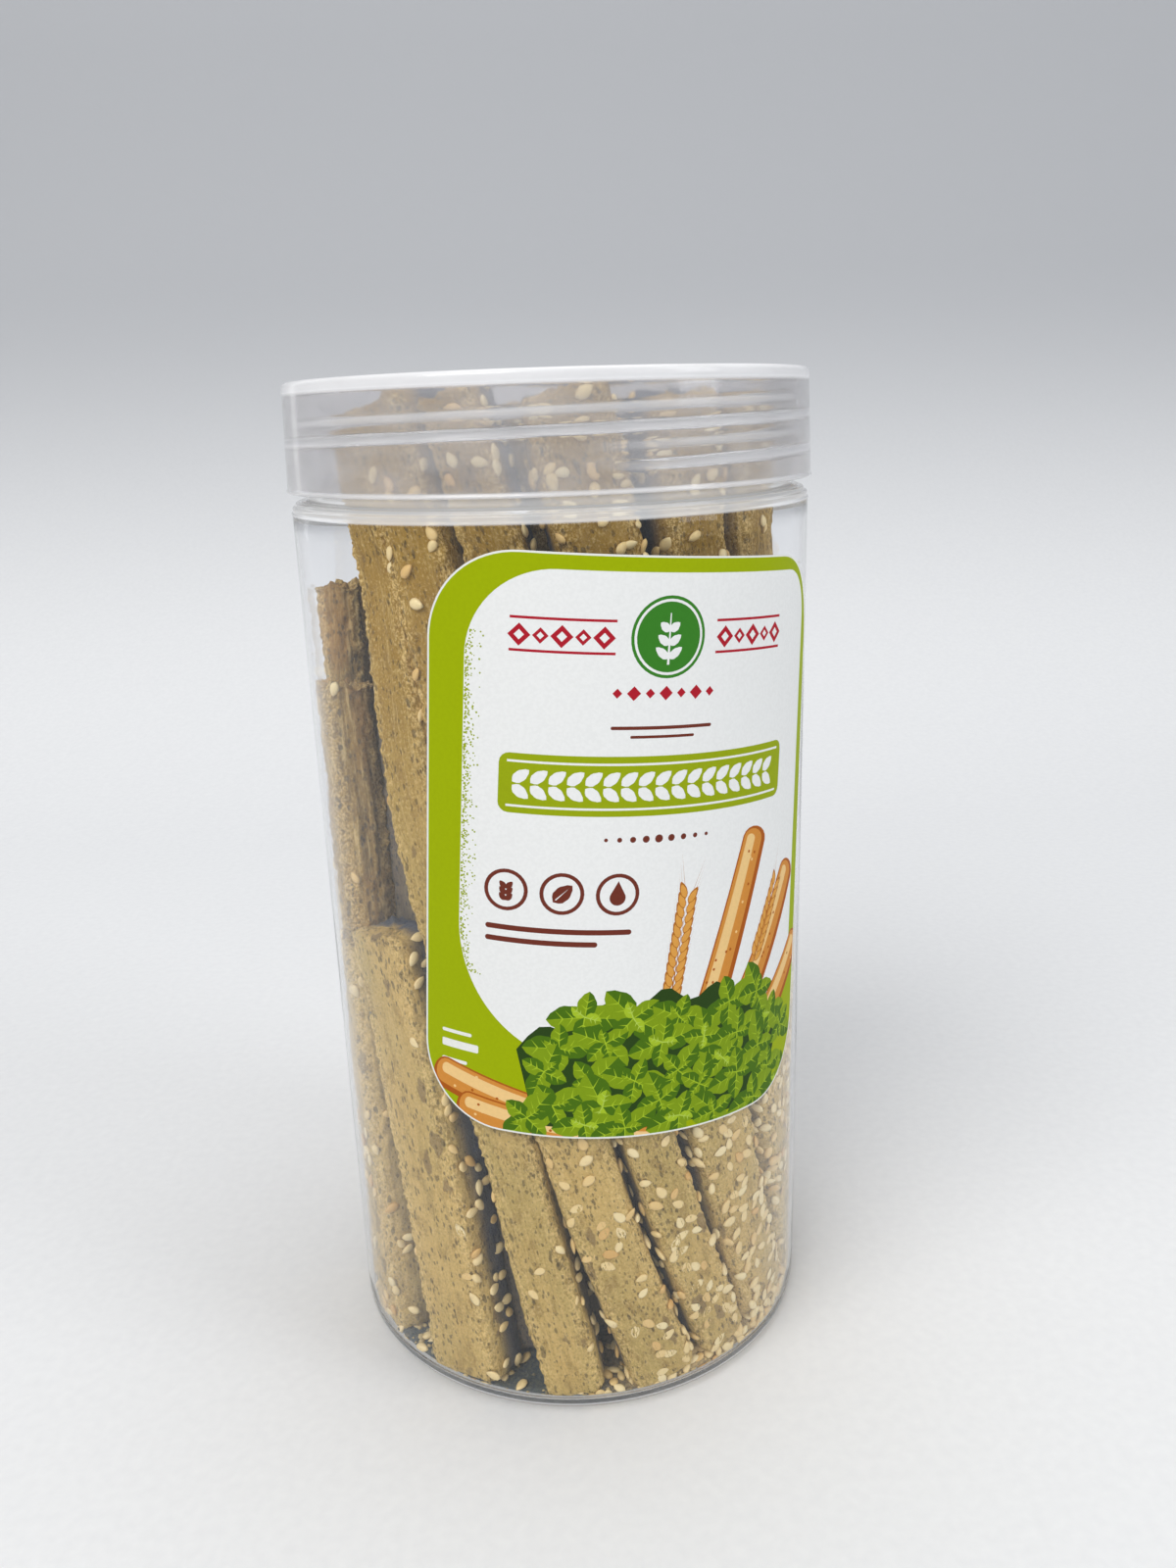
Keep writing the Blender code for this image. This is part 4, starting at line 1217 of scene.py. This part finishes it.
def spread_seeds(name, ground, copy, material, seed, gap, lift, tilt, smallest, largest):
    """One piece that holds all the copies of a small thing on some ground."""
    piece = object_of(name, bpy.data.meshes.new(name))
    run_tree(piece, scatter, {"Ground": ground, "Copy": copy, "Seed": seed, "Spacing": gap * MM,
                              "Lift": lift * MM, "Tilt": tilt, "Smallest": smallest, "Largest": largest,
                              "Material": material})
    piece.data.shade_smooth()
    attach(piece, "root")
    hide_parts("bread_sticks")
    print(name, count_triangles(piece), "triangles")
    return piece


spread_seeds("sesame_seeds", stick_shelf, seed_shape, sesame_coat, seed=4, gap=SEED_GAP, lift=SEED_LIFT,
             tilt=0.22, smallest=0.84, largest=1.12)

# %% [markdown]
# ## Loose seeds and crumbs on the jar's floor
# What falls off the sticks gathers where the jar's floor meets its wall, most of it at the front
# right, where it lies as a bank against the wall. The bank's body is a low disc whose edge
# has its own height at each angle. The same scatter then covers it with seeds, which lie flat
# against the wall, and with crumbs. A few crumbs also cling to the wall above. The bank and its
# crumbs are tan, with painted shade that turns them slate at the left, where the pack is in shade.

# %% Bank of loose seeds
BANK_COLUMNS = 180
BANK_GAP = 0.15
BANK_SET_BACK = 0.9
BANK_MIDDLE = 4.6
BANK_LOW = 2.9
BANK_PEAKS = ((5.0, 62.0, 32.0), (1.6, -78.0, 22.0), (1.2, 2.0, 9.0))
BANK_FLOOR_RINGS = (12.0, 26.0, 38.0, 44.0)
BANK_TOP_RINGS = ((47.2, 0.1), (46.0, 0.0), (44.0, 0.1), (41.0, 0.3))
BANK_MIDDLE_RINGS = (36.0, 20.0)
BANK_SEEDS = (14.0, 30.0)


def bank_height(angle):
    """How high the loose seeds lie against the wall at an angle. They have three peaks."""
    height = BANK_LOW
    for rise, middle, spread in BANK_PEAKS:
        height = height + rise * np.exp(-((angle - middle) / spread) ** 2)
    return height


def wall_reach(height):
    """The radius inside the jar's rounded base corner at a height."""
    below = np.clip(FLOOR_WALL + INNER_CORNER - height, 0.0, INNER_CORNER)
    return BODY_RADIUS - JAR_WALL - INNER_CORNER + np.sqrt(INNER_CORNER ** 2 - below ** 2)


def make_bank():
    """The body of the bank, marked where seeds lie on it."""
    angles = -180 + np.arange(BANK_COLUMNS) * 360.0 / BANK_COLUMNS
    top = bank_height(angles) + 0.25 * np.sin(np.radians(angles) * 23) * np.sin(np.radians(angles) * 7)
    low = FLOOR_WALL + BANK_GAP
    seeded = BANK_SEEDS[0] + BANK_SEEDS[1] * np.clip((top - 2.8) / 2.2, 0.0, 1.0)
    bare = 0.0 * top
    rings, crowd = [], []
    for radius in BANK_FLOOR_RINGS:
        floor = low + PUSH_UP_HEIGHT * max(0.0, 1 - (radius / PUSH_UP_RADIUS) ** 3)
        rings.append(polar(angles, radius, floor))
        crowd.append(bare)
    for step in np.linspace(0, 1, 7):
        height = low + (top - 0.4 - low) * step
        rings.append(polar(angles, wall_reach(height) - BANK_SET_BACK, height))
        crowd.append(seeded)
    for radius, drop in BANK_TOP_RINGS:
        rings.append(polar(angles, radius, top - drop))
        crowd.append(seeded)
    for radius in BANK_MIDDLE_RINGS:
        rings.append(polar(angles, radius, BANK_MIDDLE))
        crowd.append(bare)
    ends = [np.array((0.0, 0.0, height * MM)) for height in (low + PUSH_UP_HEIGHT, BANK_MIDDLE)]
    bank = skin("crumb_bank", np.array(rings), ends[0], ends[1],
                {"seeded": np.concatenate([np.array(crowd).ravel(), [0.0, 0.0]])})
    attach(bank, "root")
    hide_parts("bread_sticks")
    return bank


# %% Crumbs, and the strips of wall that some cling to
WALL_STRIPS = ((50, 84, 126, 170), (-88, -50, 12, 166))
CRUMBS_ON_WALL = 1.1
CRUMB_SHADE_TURN = (-4 * MM, 20 * MM)
CRUMBS_SHADED_LEFT = (linear(50, 68, 80), linear(92, 96, 88))
CRUMBS_RIGHT = (linear(150, 126, 82), linear(206, 178, 124))


def wall_patch():
    """Two strips of the wall's inner side where a few crumbs cling."""
    points, faces = [], []
    for first, last, low, high in WALL_STRIPS:
        start = len(points)
        for angle in np.linspace(first, last, 9):
            points += [polar(angle, INNER_WALL, height) for height in (low, high)]
        faces += [(start + 2 * k, start + 2 * k + 1, start + 2 * k + 3, start + 2 * k + 2) for k in range(8)]
    mesh = bpy.data.meshes.new("wall_patch")
    mesh.from_pydata(points, [], faces)
    mark = mesh.attributes.new("seeded", "FLOAT", "POINT")
    mark.data.foreach_set("value", np.full(len(points), CRUMBS_ON_WALL, np.float32))
    return object_of("wall_patch", mesh)


def crumb_skin():
    """A rough little crumb."""
    rng = random.Random(5)
    rows = np.linspace(0, 1, 6)[1:-1]
    turns = np.arange(6) * math.tau / 6
    half = np.sin(np.pi * rows)[:, None] * np.array([[rng.uniform(0.7, 1.2) for _ in turns] for _ in rows])
    up = -np.cos(np.pi * rows)[:, None]
    rings = np.stack(np.broadcast_arrays(half * np.cos(turns), half * np.sin(turns), up), -1) * 0.5 * MM
    return skin("crumb_shape", rings, np.array((0, 0, -0.5 * MM)), np.array((0, 0, 0.5 * MM)), {})


def crumb_material():
    """Crumbs of dough, each of its own tone, tan, with painted shade that turns them slate at the left."""
    material, tree, shader = new_material("crumb_dough", Roughness=0.85)
    shade = add(tree, "ShaderNodeAttribute", attribute_name="shade").outputs["Fac"]
    place = add(tree, "ShaderNodeTexCoord").outputs["Object"]
    dust = noise(tree, place, 1300.0, 3.0, 0.7)
    across = add(tree, "ShaderNodeSeparateXYZ", {0: place}).outputs[0]
    # Painted shade: slate at the left, going over to tan at the right.
    side = between(tree, across, *CRUMB_SHADE_TURN)
    low, high = (mixed(tree, side, left, right) for left, right in zip(CRUMBS_SHADED_LEFT, CRUMBS_RIGHT))
    dark = mixed(tree, between(tree, dust, 0.35, 0.65), low, high)
    tree.links.new(mixed(tree, shade, dark, DOUGH_PALE), shader.inputs["Base Color"])
    bump = add(tree, "ShaderNodeBump", {"Height": dust, "Distance": 0.0006, "Strength": 0.9})
    tree.links.new(bump.outputs[0], shader.inputs["Normal"])
    return material


# %% Spread the loose seeds and crumbs


def shelf_of(name, piece):
    """A collection that holds one piece, as the scatter's ground."""
    shelf = bpy.data.collections.new(name)
    bpy.context.scene.collection.children.link(shelf)
    shelf.objects.link(piece)
    return shelf


def spread_loose():
    """The bank with its seeds and crumbs, and the crumbs on the wall."""
    bank = make_bank()
    bank_shelf = shelf_of("bank_ground", bank)
    loose = crumb_material()
    bank.data.materials.append(loose)
    crumb = crumb_skin()
    patch = wall_patch()
    spread_seeds("loose_seeds", bank_shelf, seed_shape, sesame_coat, seed=8, gap=1.25, lift=0.35,
                 tilt=0.3, smallest=0.85, largest=1.1)
    spread_seeds("loose_crumbs", bank_shelf, crumb, loose, seed=21, gap=0.7, lift=0.1,
                 tilt=3.0, smallest=0.5, largest=1.6)
    spread_seeds("wall_crumbs", shelf_of("wall_ground", patch), crumb, loose, seed=5, gap=2.0, lift=0.0,
                 tilt=3.0, smallest=0.25, largest=0.7)
    for spare in (patch, crumb, seed_shape):
        bpy.data.objects.remove(spare)


spread_loose()

# %% [markdown]
# ## The label: one sheet of many inks
# A printed label is a single thin sheet. Stacked cut-outs would float over each other, so the
# whole print is one flat mesh: every shape of the design goes into a constrained Delaunay
# triangulation, which cuts all outlines into one net of triangles, and each triangle takes the ink
# of the topmost shape that covers it. The design is a plain one of its own: a white panel in a
# lime frame, a roundel with a sprig, borders of lozenges, a ribbon of grains, three badges, two
# grain ears, bread sticks and a bed of herb shoots. It has no words.

# %% Inks
INKS = {
    "border_white": (236, 237, 232),
    "lime": (158, 176, 0),
    "panel_white": (238, 239, 238),
    "mid_green": (152, 168, 16),
    "roundel_green": (58, 128, 40),
    "red": (176, 30, 46),
    "brown": (112, 52, 40),
    "leaf_deep": (44, 70, 26),
    "leaf_dark": (74, 112, 20),
    "leaf_mid": (128, 156, 24),
    "leaf_light": (164, 192, 44),
    "leaf_vein": (176, 204, 84),
    "stick_edge": (172, 90, 26),
    "stick_mid": (212, 142, 62),
    "stick_light": (240, 202, 138),
    "grain_gold": (222, 160, 76),
    "grain_shade": (176, 108, 40),
}


def ink_material(name, tone):
    """A satin print ink with the faint mottle of paper under it."""
    material, tree, shader = new_material("ink_" + name, Roughness=0.55, Specular_IOR_Level=0.08)
    place = add(tree, "ShaderNodeTexCoord").outputs["Object"]
    mottle = noise(tree, place, 1600.0, 2.0)
    light = linear(*tone)
    shade = tuple(channel * 0.965 for channel in light)
    colour = mixed(tree, between(tree, mottle, 0.35, 0.65), light, shade)
    tree.links.new(colour, shader.inputs["Base Color"])
    bump = add(tree, "ShaderNodeBump", {"Height": mottle, "Distance": 0.00002, "Strength": 0.15})
    tree.links.new(bump.outputs[0], shader.inputs["Normal"])
    return material


# %% Shapes that the print is drawn with
shapes = []


def draw(ink, outline):
    """Lays a shape on top of the print. An outline is a list of places in millimetres."""
    outline = [(float(u), float(v)) for u, v in outline]
    area = sum(a[0] * b[1] - b[0] * a[1] for a, b in zip(outline, outline[1:] + outline[:1]))
    shapes.append((ink, outline if area > 0 else outline[::-1]))


def rounded(left, bottom, right, top, corners):
    """A rectangle with its own radius at each corner, from the lower left one, anticlockwise."""
    outline = []
    middles = [(left, bottom, 1, 1), (right, bottom, -1, 1), (right, top, -1, -1), (left, top, 1, -1)]
    for k, ((u, v, du, dv), radius) in enumerate(zip(middles, corners)):
        middle_u, middle_v = u + du * radius, v + dv * radius
        turns = np.radians(np.linspace(180 + 90 * k, 270 + 90 * k, max(int(radius), 2) + 3))
        outline += [(middle_u + radius * math.cos(a), middle_v + radius * math.sin(a)) for a in turns]
    return outline


def disc(u, v, radius, corners=28):
    turns = np.arange(corners) * math.tau / corners
    return [(u + radius * math.cos(a), v + radius * math.sin(a)) for a in turns]


def placed(outline, u, v, angle, size=1.0):
    """Turns, sizes and moves an outline."""
    a = math.radians(angle)
    return [(u + size * (x * math.cos(a) - y * math.sin(a)), v + size * (x * math.sin(a) + y * math.cos(a)))
            for x, y in outline]


def leaf_half(length, width, side, steps=9):
    """One side of an oval leaf with a soft point, from its stalk to its tip."""
    line = []
    for t in np.linspace(0, 1, steps):
        swell = math.sin(math.pi * t ** 0.85) ** 0.7
        line.append((length * t, side * width / 2 * swell * (1 + 0.05 * math.sin(t * 31))))
    return line


def whole_leaf(length, width):
    """Both sides of a leaf, or of a grain."""
    return leaf_half(length, width, 1) + leaf_half(length, width, -1)[-2:0:-1]


def draw_leaf(u, v, angle, length, width, inks):
    """A leaf with a lighter and a darker half and its veins."""
    light, dark, vein = inks
    draw(dark, placed(whole_leaf(length, width), u, v, angle))
    draw(light, placed(leaf_half(length, width, 1), u, v, angle))
    thin = 0.12
    draw(vein, placed([(0, thin), (0, -thin), (length * 0.94, 0)], u, v, angle))
    for t in (0.28, 0.54):
        for side in (1, -1):
            root, reach = length * t, width * 0.36 * math.sin(math.pi * t ** 0.8)
            rib = [(root, 0), (root + reach * 0.85, side * reach), (root + 0.3, 0)]
            draw(vein, placed(rib, u, v, angle))


def draw_shoot(u, v, turn, size, rng):
    """A herb shoot from above: crossed pairs of small round leaves, the youngest on top."""
    tones = [("leaf_mid", "leaf_dark", "leaf_light"), ("leaf_mid", "leaf_dark", "leaf_light"),
             ("leaf_light", "leaf_mid", "leaf_vein")]
    for pair in range(3):
        length = size * (1.0 - 0.27 * pair)
        inks = tones[max(pair - rng.randint(0, 1), 0)]
        for side in (0, 180):
            angle = turn + 76 * pair + side + rng.uniform(-14, 14)
            draw_leaf(u, v, angle, length, length * rng.uniform(0.64, 0.78), inks)


def draw_stick(u, v, angle, length, width):
    """A bread stick with a lit side, a shaded side and seeds."""
    rng = random.Random(int(u * 7 + v))
    bands = [("stick_edge", 1.0, 0.0), ("stick_mid", 0.78, 0.06), ("stick_light", 0.34, 0.16)]
    for ink, share, shift in bands:
        half = width / 2 * share
        end = [(length + half * 0.7 * math.cos(a), half * math.sin(a)) for a in np.linspace(-1.5, 1.5, 9)]
        start = [(-half * 0.7 * math.cos(a), -half * math.sin(a)) for a in np.linspace(-1.5, 1.5, 9)]
        draw(ink, placed([(x, y + width * shift) for x, y in end + start], u, v, angle))
    for _ in range(int(length / 2.2)):
        spot = placed([(rng.uniform(1, length - 1), rng.uniform(-0.3, 0.38) * width)], u, v, angle)[0]
        draw(rng.choice(("stick_edge", "stick_light")), placed(disc(0, 0, 0.3, 6), *spot, 0))


def draw_ear(u, v, angle, grains, size):
    """A grain ear: pairs of grains along a stem, with awns."""
    step = size * 0.7
    draw("grain_shade", placed([(-size * 3, 0.2), (-size * 3, -0.2), (step * grains, 0)], u, v, angle))
    grain = whole_leaf(size * 1.3, size * 0.56)
    for k in range(grains):
        for side in (1, -1):
            base = placed([(step * (k + 0.25 * side), side * 0.12 * size)], u, v, angle)[0]
            tilt = angle + side * 27
            draw("grain_shade", placed([(0, 0.05), (0, -0.05), (size * 3.4, 0)], *base, tilt - side * 12))
            draw("grain_shade", placed(grain, *base, tilt))
            draw("grain_gold", placed(grain, *placed([(0.2, 0.0)], *base, tilt)[0], tilt, 0.78))


# %% Draw the frame and the panel
RIM = 0.34
PANEL = (-35.5, -38.0, 38.6, 50.6)
PANEL_CORNERS = (26.0, 12.0, 9.0, 15.0)
DOTS = 640
DOT_HEIGHTS = (-22.0, 40.0)
DOT_REACH = 2.6


def panel_inset(v):
    """How far the panel's round left corners stand in from its side at a height."""
    lower, upper = PANEL_CORNERS[0], PANEL_CORNERS[3]
    below = max(PANEL[1] + lower - v, 0.0)
    above = max(v - (PANEL[3] - upper), 0.0)
    inset = lower - math.sqrt(lower ** 2 - below ** 2)
    return inset + (upper - math.sqrt(upper ** 2 - above ** 2))


def draw_frame():
    """The lime sheet with its white rim, the white panel, and dots that soften the panel's edge."""
    half_u, half_v = LABEL_WIDTH / 2, LABEL_HEIGHT / 2
    draw("border_white", rounded(-half_u, -half_v, half_u, half_v, [LABEL_CORNER] * 4))
    draw("lime", rounded(-half_u + RIM, -half_v + RIM, half_u - RIM, half_v - RIM, [LABEL_CORNER - RIM] * 4))
    draw("panel_white", rounded(*PANEL, PANEL_CORNERS))
    rng = random.Random(2)
    for _ in range(DOTS):
        v = rng.uniform(*DOT_HEIGHTS)
        away = min(rng.expovariate(1.5), DOT_REACH)
        draw("mid_green", disc(PANEL[0] + panel_inset(v) + 0.2 + away, v, rng.uniform(0.1, 0.2), 6))


# %% Draw the upper half of the print
AXIS = -1.0


def draw_roundel():
    """A ringed roundel with a sprig."""
    for ink, radius in (("roundel_green", 6.9), ("panel_white", 6.35), ("roundel_green", 5.9)):
        draw(ink, disc(AXIS, 40.0, radius, 40))
    draw("panel_white", [(-1.22, 35.4), (-0.78, 35.4), (-0.9, 44.0), (-1.1, 44.0)])
    for k in range(3):
        for side in (1, -1):
            oval = whole_leaf(3.1 - 0.4 * k, 1.5)
            draw("panel_white", placed(oval, AXIS, 36.4 + 2.3 * k, 90 - side * 52))


def lozenge(u, v, size):
    """A red lozenge with a white one in it."""
    draw("red", placed(disc(0, 0, size, 4), u, v, 0))
    draw("panel_white", placed(disc(0, 0, size * 0.45, 4), u, v, 0))


def draw_borders():
    """Red borders beside the roundel and below it, and two brown lines."""
    for side in (-1, 1):
        for k in range(5):
            lozenge(AXIS + side * (11.4 + 3.5 * k), 39.8, 1.35 if k % 2 else 1.9)
        bar = sorted((AXIS + side * 9.4, AXIS + side * 27.0))
        for v in (37.0, 42.4):
            draw("red", [(bar[0], v), (bar[1], v), (bar[1], v + 0.45), (bar[0], v + 0.45)])
    for k in range(-3, 4):
        draw("red", placed(disc(0, 0, 0.85 if k % 2 else 1.25, 4), AXIS + 2.9 * k, 30.6, 0))
    draw("brown", rounded(-10.5, 24.4, 8.5, 25.0, [0.3] * 4))
    draw("brown", rounded(-7.0, 22.9, 5.0, 23.4, [0.25] * 4))


def draw_ribbon():
    """A green ribbon with a plait of grains, and a row of dots below it."""
    draw("mid_green", rounded(-29.0, 9.2, 29.0, 19.8, [1.8] * 4))
    for v in (10.3, 18.2):
        draw("panel_white", [(-27.6, v), (27.6, v), (27.6, v + 0.4), (-27.6, v + 0.4)])
    for k in range(17):
        for side in (1, -1):
            draw("panel_white", placed(whole_leaf(3.6, 2.0), -26.6 + 3.1 * k, 14.45 + side * 0.3, side * 38))
    for k in range(-4, 5):
        draw("brown", disc(-0.5 + 2.4 * k, 5.0, 0.75 - 0.1 * abs(k), 12))


# %% Draw the lower half of the print
BADGES = (-27.0, -17.2, -7.4)
HERB_ROWS = 5
HERB_COLUMNS = 7
HERB_START = (-20.0, -29.5)
HERB_STEP = (9.2, 5.4)
HERB_STAGGER = 4.4
HERB_EDGES = (-24.0, 37.0)
HERB_SIZES = (6.0, 8.0)


def draw_badges():
    """Three ringed badges, each with its own simple sign, and thin lines beside them."""
    for number, u in enumerate(BADGES):
        draw("brown", disc(u, -5.0, 3.9, 30))
        draw("panel_white", disc(u, -5.0, 3.2, 30))
        if number == 0:
            for k in range(3):
                for side in (1, -1):
                    draw("brown", placed(whole_leaf(1.8, 1.1), u, -7.0 + 1.1 * k, 90 - side * 40))
        elif number == 1:
            draw("brown", placed(whole_leaf(4.6, 2.8), u - 1.5, -6.6, 45))
            draw("panel_white", placed([(0.6, 0.12), (0.6, -0.12), (3.8, 0)], u - 1.5, -6.6, 45))
        else:
            draw("brown", disc(u, -5.6, 1.45, 20))
            draw("brown", disc(u, -5.6, 1.45, 20))
            draw("brown", [(u - 1.25, -4.9), (u + 1.25, -4.9), (u, -2.5)])
    for row, length in enumerate((13.0, 10.0)):
        draw("brown", rounded(-30.5, -12.6 - 2.3 * row, -30.5 + 2 * length, -11.6 - 2.3 * row, [0.5] * 4))
    for row, (height, length) in enumerate(((0.7, 6.0), (1.6, 7.4), (0.7, 5.2))):
        v = -35.2 - 3.0 * row
        draw("border_white", rounded(-38.6, v, -38.6 + length, v + height, [0.3] * 4))


def herb_top(u):
    """The upper outline of the bunch of herbs."""
    return -25.0 - 0.011 * (u - 6.0) ** 2 + 1.6 * math.sin(u * 0.55)


def draw_herbs():
    """A bed of herb shoots along the lower edge, the ones behind drawn first."""
    rng = random.Random(9)
    outline = [(u, herb_top(u)) for u in np.linspace(36.0, -24.0, 31)]
    draw("leaf_deep", outline + [(-20.0, -51.0), (30.0, -52.0)])
    for row in range(HERB_ROWS):
        for k in range(HERB_COLUMNS):
            u = HERB_START[0] + HERB_STEP[0] * k + HERB_STAGGER * (row % 2) + rng.uniform(-1.6, 1.6)
            v = HERB_START[1] - HERB_STEP[1] * row + rng.uniform(-1.4, 1.4)
            if HERB_EDGES[0] < u < HERB_EDGES[1] and v < herb_top(u) + 1.0:
                draw_shoot(u, v, rng.uniform(0, 180), rng.uniform(*HERB_SIZES), rng)


def draw_food():
    """Bread sticks in a fan, two grain ears, and the herbs in front of them."""
    for u, v, angle, length in ((8.0, -46.0, 74, 50.0), (12.0, -47.0, 60, 46.0), (14.0, -50.0, 44, 38.0),
                                (-38.0, -44.0, -14, 34.0), (-33.0, -50.0, -8, 36.0)):
        draw_stick(u, v, angle, length, 7.0)
    draw_ear(4.0, -26.0, 84, 11, 2.7)
    draw_ear(24.0, -22.0, 66, 9, 2.5)
    draw_herbs()


draw_frame()
draw_roundel()
draw_borders()
draw_ribbon()
draw_badges()
draw_food()
print(len(shapes), "shapes in the print")

# %% Cut all the shapes into one sheet
STRIP = 2.0
CDT_REACH = 1e-5


def print_sheet():
    """One flat mesh of the whole print, with the ink of each triangle."""
    places, loops, cuts = [], [], []
    for _, outline in shapes:
        loops.append(list(range(len(places), len(places) + len(outline))))
        places += outline
    reach = LABEL_HEIGHT / 2 + 1
    for u in np.arange(-LABEL_WIDTH / 2 + STRIP, LABEL_WIDTH / 2, STRIP):
        cuts.append((len(places), len(places) + 1))
        places += [(u, -reach), (u, reach)]
    flat = [Vector(place) for place in places]
    points, _, faces, _, _, sources = geometry.delaunay_2d_cdt(flat, cuts, loops, 1, CDT_REACH, True)
    names = list(INKS)
    kept, inks = [], []
    for face, source in zip(faces, sources):
        if 0 in source:
            kept.append(face)
            inks.append(names.index(shapes[max(source)][0]) if 1 in source else 0)
    used = sorted({corner for face in kept for corner in face})
    order = {corner: k for k, corner in enumerate(used)}
    mesh = bpy.data.meshes.new("label_sheet")
    corners = [[order[corner] for corner in face] for face in kept]
    mesh.from_pydata([(points[k].x * MM, points[k].y * MM, 0.0) for k in used], [], corners)
    mesh.polygons.foreach_set("material_index", inks)
    for name, tone in INKS.items():
        mesh.materials.append(ink_material(name, tone))
    print("Label:", len(kept), "triangles on its face")
    return object_of("label_sheet", mesh)


label = print_sheet()

# %% [markdown]
# ## Wrap the label round the jar
# The flat sheet is bent by a rule: its width runs round the jar and its height up it, turned by a
# few degrees because it is stuck on slightly askew. A small tree holds that rule, and Solidify
# gives the sheet the thickness of a label.

# %% The wrap's tree
LABEL_AIR = 0.04
LABEL_SHEET = 0.12


def wrap_tree():
    """Bends a flat sheet round the jar's axis."""
    names = ["Radius", "Slant", "Facing", "Middle height"]
    tree, given = new_tree("wrap_round_jar", [(name, "Float") for name in names])
    place = add(tree, "GeometryNodeInputPosition").outputs[0]
    u, v, _ = add(tree, "ShaderNodeSeparateXYZ", {0: place}).outputs
    cosine = calc(tree, "COSINE", given["Slant"])
    sine = calc(tree, "SINE", given["Slant"])
    along = calc(tree, "ADD", calc(tree, "MULTIPLY", u, cosine), calc(tree, "MULTIPLY", v, sine))
    rise = calc(tree, "SUBTRACT", calc(tree, "MULTIPLY", v, cosine), calc(tree, "MULTIPLY", u, sine))
    turn = calc(tree, "ADD", given["Facing"], calc(tree, "DIVIDE", along, given["Radius"]))
    x = calc(tree, "MULTIPLY", calc(tree, "SINE", turn), given["Radius"])
    y = calc(tree, "MULTIPLY", calc(tree, "COSINE", turn), calc(tree, "MULTIPLY", given["Radius"], -1.0))
    bent = add(tree, "ShaderNodeCombineXYZ", {0: x, 1: y, 2: calc(tree, "ADD", rise, given["Middle height"])})
    moved = add(tree, "GeometryNodeSetPosition", {"Geometry": given["Geometry"], "Position": bent.outputs[0]})
    tree.links.new(moved.outputs[0], tree.nodes.new("NodeGroupOutput").inputs[0])
    return tree


# %% Wrap the label
SHARP_EDGE = 40


def wrap_label():
    """Bends the printed sheet round the jar, and gives it its thickness."""
    outer = BODY_RADIUS + LABEL_AIR + LABEL_SHEET
    run_tree(label, wrap_tree(), {
        "Radius": outer * MM, "Slant": math.radians(LABEL_SLANT), "Facing": math.radians(LABEL_ANGLE),
        "Middle height": LABEL_MIDDLE * MM})
    facing = sum(face.normal.dot(face.center) for face in label.data.polygons)
    if facing < 0:
        label.data.flip_normals()
    sheet = label.modifiers.new("Paper", "SOLIDIFY")
    sheet.thickness = LABEL_SHEET * MM
    sheet.offset = -1.0
    depsgraph = bpy.context.evaluated_depsgraph_get()
    label.data = bpy.data.meshes.new_from_object(label.evaluated_get(depsgraph), depsgraph=depsgraph)
    label.modifiers.clear()
    label.data.shade_smooth()
    label.data.set_sharp_from_angle(angle=math.radians(SHARP_EDGE))
    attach(label, "root")
    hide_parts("label")


wrap_label()
